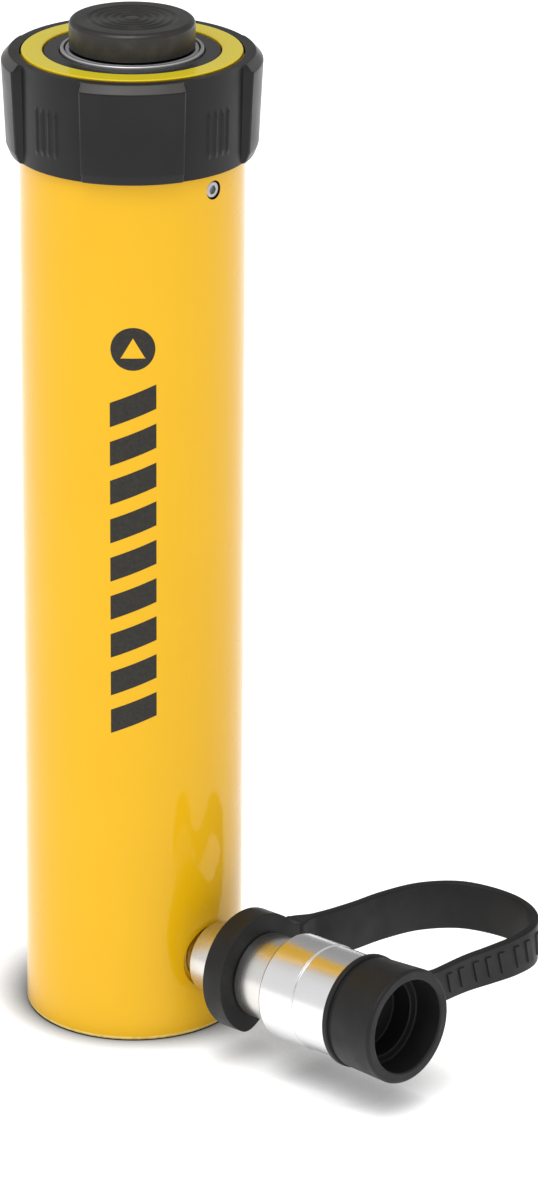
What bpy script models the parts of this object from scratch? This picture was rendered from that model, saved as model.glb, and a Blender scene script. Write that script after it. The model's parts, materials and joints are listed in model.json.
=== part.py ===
"""Single-acting hydraulic cylinder with a return spring, a collar thread, a coupler and a tethered dust cap.

The cylinder stands on its base at z = 0, with +Z along the stroke. Its coupler points to +X and rises a little,
and the dust cap's strap loops out to +Y. Every length below is in millimetres until to_metres() takes it.
On the coupler, stations are measured outwards along the coupler's own axis from the barrel's wall.
"""

import math

import bmesh
import bpy
from mathutils import Matrix, Vector

MM = 0.001
GAP = 0.3
FINE_STEPS = 48
STEPS = 24
SMALL_STEPS = 20
SHARP_ANGLE = math.radians(35)
WELD_DISTANCE = 0.000001

# Driving dimensions: a 15 ton class cylinder with a 203 mm stroke.
BARREL_R = 34.925
BORE_R = 25.4
ROD_R = 20.7
STROKE = 203.0
RIM_Z = 320.0
FLOOR_Z = 18.0
SADDLE_R = 19.4
SADDLE_TOP_Z = 329.7

# Barrel
THREAD_R = 34.3
THREAD_LENGTH = 30.2
RIM_R = 33.87
GLAND_SEAT_R = 27.5
GLAND_SEAT_Z = 275.0
BASE_CHAMFER = 0.7
BASE_BOLT_CIRCLE_R = 23.8
BASE_BOLT_R = 4.0
BASE_BOLT_DEPTH = 12.7
BASE_BOLT_STEPS = 32
ANCHOR_HOLE_R = 6.0
ANCHOR_HOLE_DEPTH = 10.0
LOCK_SCREW_R = 2.7
LOCK_SCREW_Z = 282.5
LOCK_SCREW_LENGTH = 7.0
LOCK_KEY_R = 1.4
LOCK_KEY_DEPTH = 2.0
LOCK_KEY_SIDES = 6

# Stop ring, with its bearing and wiper
STOP_RING_TOP_Z = RIM_Z - 0.4
BEARING_R = 23.5
BEARING_LENGTH = 29.0
WIPER_R = 22.1
WIPER_LOW_Z = 314.0
WIPER_TOP_Z = RIM_Z + 0.6

# Plunger
PLUNGER_LOW_Z = FLOOR_Z + 0.5
PLUNGER_TOP_Z = RIM_Z + 0.6
HEAD_R = BORE_R - GAP
HEAD_TOP_Z = GLAND_SEAT_Z - STROKE - 0.2
HEAD_RELIEF_R = 23.5
HEAD_RELIEF_Z = 31.0
SEAL_GROOVE = (20.6, 36.0, 45.0)
WEAR_GROOVE = (23.0, 56.0, 66.0)
SPRING_BORE_R = 15.0
SPRING_BORE_TOP_Z = 284.0
SADDLE_HOLE_R = 11.1
SADDLE_HOLE_DEPTH = 25.0

# Return spring and what holds its ends
SPRING_R = 11.5
SPRING_WIRE_R = 1.6
SPRING_TURNS = 14
SPRING_POST_R = 8.6
ANCHOR_FLANGE_R = 14.0
ANCHOR_FLANGE_TOP_Z = 24.3
ANCHOR_POST_TOP_Z = 44.0
PLUG_R = SPRING_BORE_R - GAP
PLUG_LOW_Z = 267.7
PLUG_POST_LOW_Z = 246.0
PLUG_RING_GROOVE = (16.5, 265.4, 267.6)
PLUG_RING_GAP = 36.0

# Saddle
SADDLE_EDGE_R = 1.8
SADDLE_STEM_R = 10.7
SADDLE_STEM_LOW_Z = 300.0
SADDLE_RING_Z = 310.0
SADDLE_RING_WIRE_R = 0.65
SADDLE_GROOVES = 4
SADDLE_GROOVE_PITCH = 2.5
SADDLE_GROOVE_DEPTH = 0.5

# Thread protector
PROTECTOR_LOW_Z = 287.9
PROTECTOR_TOP_Z = 319.6
PROTECTOR_BORE_R = THREAD_R + 0.9
PROTECTOR_LIP_R = THREAD_R + GAP
PROTECTOR_EDGE_R = 40.2
PROTECTOR_EDGE_Z = 317.1
PROTECTOR_FOOT_R = 38.9
PROTECTOR_PADS = 4
PROTECTOR_RECESS_SWEEP = 41.0
PROTECTOR_RECESS_R = 37.4

# Coupler: its axis, and stations along it from the barrel's wall
PORT_Z = 25.5
PORT_RISE = math.radians(2.5)
PORT_SHANK_R = 8.2
PORT_SHANK_DEPTH = 7.0
PASSAGE_R = 3.0
NIPPLE_R = 11.8
NIPPLE_BACK = 2.2
NIPPLE_FRONT = 12.5
NIPPLE_STUB_R = 7.0
NIPPLE_STUB_END = 22.0
COUPLER_REAR_R = 12.7
COUPLER_REAR_FRONT = 36.3
COUPLER_LAND_R = 13.7
COUPLER_LAND_BACK = 23.3
COUPLER_NECK_R = 9.8
COUPLER_FRONT = 60.0
CHAMBER_R = 6.4
CHAMBER_END = 46.0
THROAT_R = 4.2
THROAT_BACK = 48.5
MOUTH_R = 7.0
MOUTH_FLOOR = 51.0
MOUTH_SEAL_STATION = 55.2
MOUTH_SEAL_WIRE_R = 0.75
SLEEVE_R = 17.2
SLEEVE_FRONT_R = 16.9
SLEEVE_BACK = 37.0
SLEEVE_LINE = 51.0
SLEEVE_FRONT = 65.2
SLEEVE_BORE_R = 13.1
SLEEVE_SHOULDER_R = 11.6
SLEEVE_RING_STATION = 43.2
SLEEVE_RING_WIDTH = 1.4
SLEEVE_RING_GAP = 40.0
POPPET_STEM_R = 2.4
POPPET_FLANGE_R = 5.6
POPPET_FLANGE_BACK = 44.4
POPPET_CONE_BACK = 45.6
POPPET_CONE_FRONT = 47.6
POPPET_NOSE_R = 3.6
POPPET_NOSE_FRONT = 54.0
POPPET_SPRING_R = 4.6
POPPET_SPRING_WIRE_R = 0.6
POPPET_SPRING_TURNS = 4
GUIDE_BACK = 28.0
GUIDE_FRONT = 31.0
FLOW_HOLES = 3
FLOW_HOLE_R = 1.1
FLOW_HOLE_CIRCLE_R = 4.4
FLOW_HOLE_TURN = 30.0
FLOW_HOLE_STEPS = 12

# Dust cap, clip and strap
CAP_BACK = SLEEVE_FRONT + GAP
CAP_PLUG_END = COUPLER_FRONT + 0.9
CAP_PLUG_R = 12.7
CAP_FLANGE_R = 18.3
CAP_FLANGE_FRONT = 67.4
CAP_GROOVE_R = 17.2
CAP_BODY_R = 17.9
CAP_RIM_R = 18.6
CAP_FRONT = 85.5
CAP_SOCKET_R = 15.0
CAP_SOCKET_FLOOR = 75.2
CAP_WELL_R = 12.2
CAP_WELL_FLOOR = 68.0
CAP_LUG = (69.0, 74.5)
CLIP_BACK = 15.0
CLIP_FRONT = 23.0
CLIP_R = 19.3
CLIP_BORE_R = COUPLER_REAR_R + GAP
CLIP_TIP_R = 15.0
CLIP_HEEL_R = 17.1
CLIP_TAPER = 18.0
CLIP_FLARE = 17.0
CLIP_TIP_ANGLE = -92.0
CLIP_HEEL_ANGLE = -27.0
LUG_SIDE = 19.9
CLIP_LUG_LOW = -4.7
CLIP_LUG_HIGH = 11.3
CAP_LUG_HALF = 6.0
STRAP_THICKNESS = 2.7
STRAP_HEIGHTS = (16.0, 12.0)
STRAP_MIDDLES_Z = (29.6, 28.6)
STRAP_TAPER_START = 0.35
STRAP_ROUTE = (
    (54.0, 20.2),
    (56.6, 30.0),
    (58.3, 42.0),
    (59.6, 54.0),
    (63.2, 67.0),
    (71.0, 77.0),
    (81.0, 81.5),
    (92.2, 82.6),
    (101.9, 79.4),
    (108.0, 72.4),
    (109.4, 62.6),
    (108.2, 52.2),
    (106.6, 42.0),
    (106.3, 31.0),
    (106.3, 20.2),
)
STRAP_STEPS = 3


def to_metres(points):
    """The same points in metres."""
    return [tuple(value * MM for value in point) for point in points]


def new_collection(name):
    made = bpy.data.collections.new(name)
    bpy.context.scene.collection.children.link(made)
    return made


def new_finish(name, colour, roughness, metallic=0.0):
    """A Principled material of one colour."""
    finish = bpy.data.materials.new(name)
    finish.use_nodes = True
    shader = finish.node_tree.nodes["Principled BSDF"]
    shader.inputs["Base Color"].default_value = (*colour, 1.0)
    shader.inputs["Roughness"].default_value = roughness
    shader.inputs["Metallic"].default_value = metallic
    return finish


def new_piece(name, data, finish, home, frame=None):
    """An object of this data in a collection, placed by its frame if it has one."""
    piece = bpy.data.objects.new(name, data)
    piece.data.materials.append(finish)
    piece.parent = frame
    home.objects.link(piece)
    return piece


def turned(name, outline, finish, home, frame=None, steps=STEPS):
    """A turned piece from (radius, height) points, down the outer side.

    An outline that starts and ends on the axis makes a solid, and any other is closed into a ring.
    """
    points = to_metres((radius, 0.0, height) for radius, height in outline)
    edges = [(i, i + 1) for i in range(len(points) - 1)]
    if outline[0][0] > 0:
        edges.append((len(points) - 1, 0))
    mesh = bpy.data.meshes.new(name)
    mesh.from_pydata(points, edges, [])
    piece = new_piece(name, mesh, finish, home, frame)
    screw = piece.modifiers.new("Turn", "SCREW")
    screw.steps = steps
    screw.render_steps = steps
    screw.use_merge_vertices = True
    screw.merge_threshold = WELD_DISTANCE
    return piece


def plain_ring(outer, inner, low, high):
    """The outline of a plain ring."""
    return ((inner, high), (outer, high), (outer, low), (inner, low))


def wire_ring(radius, wire, height, points=6):
    """The outline of a ring of round wire."""
    turns = (-2 * math.pi * i / points for i in range(points))
    return [(radius + wire * math.cos(turn), height + wire * math.sin(turn)) for turn in turns]


def arc(centre, radius, start, end, points):
    """Points along an arc, from start to end in degrees."""
    turns = (math.radians(start + (end - start) * i / (points - 1)) for i in range(points))
    return [(centre[0] + radius * math.cos(turn), centre[1] + radius * math.sin(turn)) for turn in turns]


def extruded(name, outline, low, high, finish, home, frame=None):
    """A flat outline extruded from one height to the other."""
    curve = bpy.data.curves.new(name, "CURVE")
    curve.dimensions = "2D"
    curve.fill_mode = "BOTH"
    curve.extrude = (high - low) / 2 * MM
    spline = curve.splines.new("POLY")
    spline.points.add(len(outline) - 1)
    for point, (x, y) in zip(spline.points, outline):
        point.co = (x * MM, y * MM, 0.0, 1.0)
    spline.use_cyclic_u = True
    piece = new_piece(name, curve, finish, home, frame)
    piece.location.z = (low + high) / 2 * MM
    return piece


def coil(name, radius, wire, low, high, turns, finish, home, frame=None, points_per_turn=8):
    """A coil spring of round wire about the Z axis."""
    curve = bpy.data.curves.new(name, "CURVE")
    curve.dimensions = "3D"
    curve.bevel_depth = wire * MM
    curve.bevel_resolution = 2
    curve.use_fill_caps = True
    count = turns * points_per_turn
    spline = curve.splines.new("POLY")
    spline.points.add(count)
    for i, point in enumerate(spline.points):
        turn = 2 * math.pi * i / points_per_turn
        height = low + (high - low) * i / count
        point.co = (radius * math.cos(turn) * MM, radius * math.sin(turn) * MM, height * MM, 1.0)
    return new_piece(name, curve, finish, home, frame)


def block(name, low, high, finish, home, frame=None):
    """A box between two corners."""
    mesh = bpy.data.meshes.new(name)
    builder = bmesh.new()
    bmesh.ops.create_cube(builder, size=1.0)
    size = Vector(high) - Vector(low)
    middle = (Vector(high) + Vector(low)) / 2
    place = Matrix.Translation(middle * MM) @ Matrix.Diagonal((*(size * MM), 1.0))
    bmesh.ops.transform(builder, matrix=place, verts=builder.verts)
    builder.to_mesh(mesh)
    builder.free()
    return new_piece(name, mesh, finish, home, frame)


def rod(name, radius, low, high, finish, home, frame=None, steps=SMALL_STEPS, across=(0.0, 0.0)):
    """A plain cylinder along Z, set off across it."""
    mesh = bpy.data.meshes.new(name)
    builder = bmesh.new()
    place = Matrix.Translation(Vector((*across, (low + high) / 2)) * MM)
    bmesh.ops.create_cone(
        builder,
        cap_ends=True,
        segments=steps,
        radius1=radius * MM,
        radius2=radius * MM,
        depth=(high - low) * MM,
        matrix=place,
    )
    builder.to_mesh(mesh)
    builder.free()
    return new_piece(name, mesh, finish, home, frame)


def sector(name, outline, middle, sweep, finish, home, steps=8):
    """A closed outline swung through part of a turn about Z, centred on an angle in degrees."""
    mesh = bpy.data.meshes.new(name)
    builder = bmesh.new()
    corners = [builder.verts.new(point) for point in to_metres((r, 0.0, z) for r, z in outline)]
    face = builder.faces.new(corners)
    whole = [face, *face.edges, *face.verts]
    start = Matrix.Rotation(math.radians(middle - sweep / 2), 4, "Z")
    bmesh.ops.transform(builder, matrix=start, verts=corners)
    bmesh.ops.spin(
        builder,
        geom=whole,
        axis=(0.0, 0.0, 1.0),
        cent=(0.0, 0.0, 0.0),
        angle=math.radians(sweep),
        steps=steps,
    )
    bmesh.ops.recalc_face_normals(builder, faces=builder.faces)
    builder.to_mesh(mesh)
    builder.free()
    return new_piece(name, mesh, finish, home)


def boolean(piece, tool, operation="DIFFERENCE"):
    """Cuts a helper out of a piece, or joins it on."""
    tool.hide_render = True
    tool.display_type = "WIRE"
    modifier = piece.modifiers.new(tool.name, "BOOLEAN")
    modifier.operation = operation
    modifier.solver = "EXACT"
    modifier.object = tool


def smooth_route(points, steps):
    """A Catmull-Rom curve through points in a plane."""
    ends = [2 * Vector(points[0]) - Vector(points[1]), 2 * Vector(points[-1]) - Vector(points[-2])]
    knots = [ends[0], *map(Vector, points), ends[1]]
    route = []
    for a, b, c, d in zip(knots, knots[1:], knots[2:], knots[3:]):
        for i in range(steps):
            t = i / steps
            along = b * 2 + (c - a) * t + (a * 2 - b * 5 + c * 4 - d) * t**2 + (b * 3 - a - c * 3 + d) * t**3
            route.append(along / 2)
    route.append(knots[-2])
    return route


def band(name, route, thickness, heights, middles, finish, home):
    """A flat band on edge along a route, between two heights: a loft of unlike rectangles.

    It leaves its start along +Y and reaches its end along -Y, so both of its end faces are square to Y.
    """
    builder = bmesh.new()
    last = len(route) - 1
    directions = [(after - before).normalized() for before, after in zip(route, route[2:])]
    directions = [Vector((0.0, 1.0)), *directions, Vector((0.0, -1.0))]
    rings = []
    for i, (point, ahead) in enumerate(zip(route, directions)):
        side = Vector((-ahead.y, ahead.x, 0.0)) * thickness / 2
        share = max(0.0, i / last - STRAP_TAPER_START) / (1 - STRAP_TAPER_START)
        share = share * share * (3 - 2 * share)
        rise = Vector((0.0, 0.0, (heights[0] + (heights[1] - heights[0]) * share) / 2))
        middle = Vector((point.x, point.y, middles[0] + (middles[1] - middles[0]) * share))
        corners = (middle + side + rise, middle - side + rise, middle - side - rise, middle + side - rise)
        rings.append([builder.verts.new(corner * MM) for corner in corners])
    for ring, following in zip(rings, rings[1:]):
        for j in range(4):
            k = (j + 1) % 4
            builder.faces.new((ring[j], ring[k], following[k], following[j]))
    builder.faces.new(rings[0])
    builder.faces.new(rings[-1])
    bmesh.ops.recalc_face_normals(builder, faces=builder.faces)
    mesh = bpy.data.meshes.new(name)
    builder.to_mesh(mesh)
    builder.free()
    return new_piece(name, mesh, finish, home)


def across(radius, angle):
    """A point across the coupler's axis: angle 0 is towards +Y, and 90 degrees is up."""
    turn = math.radians(angle)
    return (-radius * math.sin(turn), radius * math.cos(turn))


def open_ring(outer, inner, gap_middle, gap, points=20):
    """The outline of a split ring across the coupler's axis, with its gap centred on an angle."""
    start = gap_middle - gap / 2
    end = gap_middle + gap / 2 - 360
    angles = [start + (end - start) * i / (points - 1) for i in range(points)]
    return [across(outer, angle) for angle in angles] + [across(inner, angle) for angle in reversed(angles)]


def clip_outline(points=20):
    """The tether clip: a ring open below, with a tapered tip, a flared bore and a lug for the strap."""
    tip = CLIP_TIP_ANGLE
    full = tip - CLIP_TAPER
    heel = CLIP_HEEL_ANGLE - 360.0
    lug_top = math.degrees(math.asin(CLIP_LUG_HIGH / CLIP_R)) - 360.0
    lug_bottom = math.degrees(math.asin(CLIP_LUG_LOW / CLIP_R)) - 360.0
    bore_start = heel + CLIP_FLARE
    bore_end = tip - CLIP_FLARE
    return [
        *(across(CLIP_R, full + (lug_top - full) * i / points) for i in range(points + 1)),
        (-CLIP_LUG_HIGH, LUG_SIDE),
        (-CLIP_LUG_LOW, LUG_SIDE),
        across(CLIP_R, lug_bottom),
        across(CLIP_R, heel),
        across(CLIP_HEEL_R, heel),
        *(across(CLIP_BORE_R, bore_start + (bore_end - bore_start) * i / points) for i in range(points + 1)),
        across(CLIP_TIP_R, tip),
    ]


def build_barrel(home, cutters, finishes, coupler_axis):
    """The barrel with its integral base, port and holes."""
    thread_low_z = RIM_Z - THREAD_LENGTH
    body = turned(
        "cylinder_body",
        (
            (0.0, FLOOR_Z),
            (BORE_R, FLOOR_Z),
            (BORE_R, GLAND_SEAT_Z),
            (GLAND_SEAT_R, GLAND_SEAT_Z),
            (GLAND_SEAT_R, RIM_Z - 0.5),
            (GLAND_SEAT_R + 0.5, RIM_Z),
            (RIM_R, RIM_Z),
            (THREAD_R, RIM_Z - 0.5),
            (THREAD_R, thread_low_z),
            (BARREL_R, thread_low_z - 0.6),
            (BARREL_R, BASE_CHAMFER),
            (BARREL_R - BASE_CHAMFER, 0.0),
            (0.0, 0.0),
        ),
        finishes["yellow"],
        home,
        steps=FINE_STEPS,
    )
    plain = finishes["steel"]
    shank_hole_r = PORT_SHANK_R + GAP
    shank_hole_depth = PORT_SHANK_DEPTH + GAP
    wall = BARREL_R - BORE_R
    tools = [
        rod("shank_cutter", shank_hole_r, -shank_hole_depth, 6.0, plain, cutters, coupler_axis, STEPS),
        rod("passage_cutter", PASSAGE_R, -wall - 3.0, 0.0, plain, cutters, coupler_axis),
        rod("anchor_cutter", ANCHOR_HOLE_R, FLOOR_Z - ANCHOR_HOLE_DEPTH, FLOOR_Z + 1.0, plain, cutters),
    ]
    for i, side in enumerate((-1, 1)):
        spot = (0.0, side * BASE_BOLT_CIRCLE_R)
        name = f"bolt_cutter_{i}"
        tools.append(rod(name, BASE_BOLT_R, -1.0, BASE_BOLT_DEPTH, plain, cutters, steps=BASE_BOLT_STEPS, across=spot))
    lock_cutter = rod("lock_cutter", LOCK_SCREW_R + GAP, GLAND_SEAT_R - 1.0, BARREL_R + 2.0, plain, cutters)
    lock_cutter.rotation_euler = (0.0, math.pi / 2, 0.0)
    lock_cutter.location.z = LOCK_SCREW_Z * MM
    for tool in (*tools, lock_cutter):
        boolean(body, tool)


def build_stop_ring(home, cutters, finishes):
    """The ring screwed into the barrel's mouth, its bearing and wiper, and the screw that locks it."""
    low_z = GLAND_SEAT_Z + GAP
    rod_clearance_r = ROD_R + GAP
    bearing_seat_z = low_z + BEARING_LENGTH + 2 * GAP
    turned(
        "stop_ring",
        (
            (WIPER_R + GAP, STOP_RING_TOP_Z),
            (GLAND_SEAT_R - GAP - 0.4, STOP_RING_TOP_Z),
            (GLAND_SEAT_R - GAP, STOP_RING_TOP_Z - 0.4),
            (GLAND_SEAT_R - GAP, low_z),
            (BEARING_R + GAP, low_z),
            (BEARING_R + GAP, bearing_seat_z),
            (rod_clearance_r, bearing_seat_z),
            (rod_clearance_r, WIPER_LOW_Z - GAP),
            (WIPER_R + GAP, WIPER_LOW_Z - GAP),
        ),
        finishes["dark_steel"],
        home,
    )
    bearing_low_z = low_z + GAP
    turned(
        "gland_bearing",
        plain_ring(BEARING_R, rod_clearance_r, bearing_low_z, bearing_low_z + BEARING_LENGTH),
        finishes["bronze"],
        home,
    )
    turned(
        "wiper_ring",
        (
            (rod_clearance_r, WIPER_TOP_Z),
            (WIPER_R - 0.6, WIPER_TOP_Z),
            (WIPER_R, WIPER_TOP_Z - 0.6),
            (WIPER_R, WIPER_LOW_Z),
            (rod_clearance_r, WIPER_LOW_Z),
        ),
        finishes["bright_steel"],
        home,
    )
    screw = rod("stop_ring_lock_screw", LOCK_SCREW_R, 0.0, LOCK_SCREW_LENGTH, finishes["steel"], home)
    key_low = LOCK_SCREW_LENGTH - LOCK_KEY_DEPTH
    key_high = LOCK_SCREW_LENGTH + 1.0
    key = rod("lock_key_cutter", LOCK_KEY_R, key_low, key_high, finishes["steel"], cutters, steps=LOCK_KEY_SIDES)
    for item in (screw, key):
        item.rotation_euler = (0.0, math.pi / 2, 0.0)
        item.location = (GLAND_SEAT_R * MM, 0.0, LOCK_SCREW_Z * MM)
    boolean(screw, key)


def build_plunger(home, finishes):
    """The hollow plunger and the rings on its head."""
    seal_r, seal_low, seal_high = SEAL_GROOVE
    wear_r, wear_low, wear_high = WEAR_GROOVE
    ring_r, ring_low, ring_high = PLUG_RING_GROOVE
    hole_floor_z = PLUNGER_TOP_Z - SADDLE_HOLE_DEPTH
    turned(
        "plunger",
        (
            (0.0, hole_floor_z),
            (SADDLE_HOLE_R, hole_floor_z),
            (SADDLE_HOLE_R, PLUNGER_TOP_Z - 0.5),
            (SADDLE_HOLE_R + 0.5, PLUNGER_TOP_Z),
            (ROD_R - 0.8, PLUNGER_TOP_Z),
            (ROD_R, PLUNGER_TOP_Z - 0.8),
            (ROD_R, HEAD_TOP_Z),
            (HEAD_R, HEAD_TOP_Z),
            (HEAD_R, wear_high),
            (wear_r, wear_high),
            (wear_r, wear_low),
            (HEAD_R, wear_low),
            (HEAD_R, seal_high),
            (seal_r, seal_high),
            (seal_r, seal_low),
            (HEAD_R, seal_low),
            (HEAD_R, HEAD_RELIEF_Z),
            (HEAD_RELIEF_R, HEAD_RELIEF_Z - 1.6),
            (HEAD_RELIEF_R, PLUNGER_LOW_Z),
            (SPRING_BORE_R, PLUNGER_LOW_Z),
            (SPRING_BORE_R, ring_low),
            (ring_r, ring_low),
            (ring_r, ring_high),
            (SPRING_BORE_R, ring_high),
            (SPRING_BORE_R, SPRING_BORE_TOP_Z),
            (0.0, SPRING_BORE_TOP_Z),
        ),
        finishes["bright_steel"],
        home,
    )
    seal_inner = seal_r + GAP
    lip_low, lip_high = seal_low + GAP, seal_high - 2.5
    turned(
        "plunger_u_cup",
        (
            (seal_inner, lip_high),
            (HEAD_R, lip_high),
            (HEAD_R, lip_low),
            (HEAD_R - 1.2, lip_low),
            ((HEAD_R + seal_inner) / 2, lip_low + 2.8),
            (seal_inner + 1.2, lip_low),
            (seal_inner, lip_low),
        ),
        finishes["seal"],
        home,
    )
    turned(
        "u_cup_backup_ring",
        plain_ring(HEAD_R, seal_inner, lip_high + GAP, seal_high - GAP),
        finishes["white_plastic"],
        home,
    )
    turned(
        "plunger_wear_ring",
        plain_ring(HEAD_R, wear_r + GAP, wear_low + GAP, wear_high - GAP),
        finishes["bronze"],
        home,
    )


def build_return_spring(home, finishes):
    """The spring in the hollow plunger, between the anchor in the base and the plug in the plunger."""
    turned(
        "spring_anchor",
        (
            (0.0, ANCHOR_POST_TOP_Z),
            (SPRING_POST_R - 1.5, ANCHOR_POST_TOP_Z),
            (SPRING_POST_R, ANCHOR_POST_TOP_Z - 1.5),
            (SPRING_POST_R, ANCHOR_FLANGE_TOP_Z),
            (ANCHOR_FLANGE_R, ANCHOR_FLANGE_TOP_Z),
            (ANCHOR_FLANGE_R, FLOOR_Z + GAP),
            (ANCHOR_HOLE_R - GAP, FLOOR_Z + GAP),
            (ANCHOR_HOLE_R - GAP, FLOOR_Z - ANCHOR_HOLE_DEPTH + 1.0),
            (0.0, FLOOR_Z - ANCHOR_HOLE_DEPTH + 1.0),
        ),
        finishes["steel"],
        home,
        steps=SMALL_STEPS,
    )
    turned(
        "spring_upper_plug",
        (
            (0.0, SPRING_BORE_TOP_Z - GAP),
            (PLUG_R, SPRING_BORE_TOP_Z - GAP),
            (PLUG_R, PLUG_LOW_Z),
            (SPRING_POST_R, PLUG_LOW_Z),
            (SPRING_POST_R, PLUG_POST_LOW_Z + 1.5),
            (SPRING_POST_R - 1.5, PLUG_POST_LOW_Z),
            (0.0, PLUG_POST_LOW_Z),
        ),
        finishes["steel"],
        home,
        steps=SMALL_STEPS,
    )
    groove_r, groove_low, groove_high = PLUG_RING_GROOVE
    ring = open_ring(groove_r - GAP, SPRING_R + SPRING_WIRE_R + 0.5, 0.0, PLUG_RING_GAP)
    extruded("plug_retaining_ring", ring, groove_low + GAP, groove_high - GAP, finishes["spring_steel"], home)
    coil(
        "return_spring",
        SPRING_R,
        SPRING_WIRE_R,
        ANCHOR_FLANGE_TOP_Z + GAP + SPRING_WIRE_R,
        PLUG_LOW_Z - GAP - SPRING_WIRE_R,
        SPRING_TURNS,
        finishes["spring_steel"],
        home,
    )


def build_saddle(home, finishes):
    """The grooved saddle that lifts out of the plunger's top, and the ring that holds it there."""
    grooves = [(0.0, SADDLE_TOP_Z)]
    for i in range(SADDLE_GROOVES):
        middle = (i + 1.2) * SADDLE_GROOVE_PITCH
        grooves += [
            (middle - 0.6, SADDLE_TOP_Z),
            (middle, SADDLE_TOP_Z - SADDLE_GROOVE_DEPTH),
            (middle + 0.6, SADDLE_TOP_Z),
        ]
    edge_centre = (SADDLE_R - SADDLE_EDGE_R, SADDLE_TOP_Z - SADDLE_EDGE_R)
    under_z = PLUNGER_TOP_Z + GAP
    groove_r = SADDLE_STEM_R - 1.5
    outline = [
        *grooves,
        *arc(edge_centre, SADDLE_EDGE_R, 90.0, 0.0, 4),
        (SADDLE_R, under_z + 0.4),
        (SADDLE_R - 0.4, under_z),
        (SADDLE_STEM_R, under_z),
        (SADDLE_STEM_R, SADDLE_RING_Z + 1.1),
        (groove_r, SADDLE_RING_Z + 1.1),
        (groove_r, SADDLE_RING_Z - 1.1),
        (SADDLE_STEM_R, SADDLE_RING_Z - 1.1),
        (SADDLE_STEM_R, SADDLE_STEM_LOW_Z + 1.0),
        (SADDLE_STEM_R - 1.0, SADDLE_STEM_LOW_Z),
        (0.0, SADDLE_STEM_LOW_Z),
    ]
    turned("saddle", outline, finishes["black_oxide"], home)
    ring_middle = groove_r + GAP + SADDLE_RING_WIRE_R
    ring = wire_ring(ring_middle, SADDLE_RING_WIRE_R, SADDLE_RING_Z)
    turned("saddle_retaining_ring", ring, finishes["seal"], home, steps=SMALL_STEPS)


def build_thread_protector(home, cutters, finishes):
    """The black collar over the barrel's thread, with pads round its rim."""
    protector = turned(
        "thread_protector",
        (
            (PROTECTOR_LIP_R, PROTECTOR_TOP_Z),
            (PROTECTOR_LIP_R + 0.4, PROTECTOR_TOP_Z),
            (PROTECTOR_EDGE_R - 0.2, PROTECTOR_EDGE_Z + 0.1),
            (PROTECTOR_EDGE_R, PROTECTOR_EDGE_Z - 0.6),
            (PROTECTOR_FOOT_R, PROTECTOR_LOW_Z + 3.1),
            (PROTECTOR_FOOT_R - 0.4, PROTECTOR_LOW_Z + 1.2),
            (PROTECTOR_FOOT_R - 1.2, PROTECTOR_LOW_Z),
            (PROTECTOR_BORE_R, PROTECTOR_LOW_Z),
            (PROTECTOR_BORE_R, PROTECTOR_TOP_Z - 1.6),
            (PROTECTOR_LIP_R, PROTECTOR_TOP_Z - 1.6),
        ),
        finishes["black_plastic"],
        home,
        steps=FINE_STEPS,
    )
    recess = (
        (PROTECTOR_RECESS_R, PROTECTOR_TOP_Z + 2.0),
        (PROTECTOR_EDGE_R + 3.0, PROTECTOR_TOP_Z + 2.0),
        (PROTECTOR_EDGE_R + 3.0, PROTECTOR_LOW_Z - 2.0),
        (PROTECTOR_RECESS_R - 0.6, PROTECTOR_LOW_Z - 2.0),
    )
    for i in range(PROTECTOR_PADS):
        middle = 360.0 * i / PROTECTOR_PADS
        cutter = sector(f"recess_cutter_{i}", recess, middle, PROTECTOR_RECESS_SWEEP, finishes["steel"], cutters)
        boolean(protector, cutter)


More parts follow.
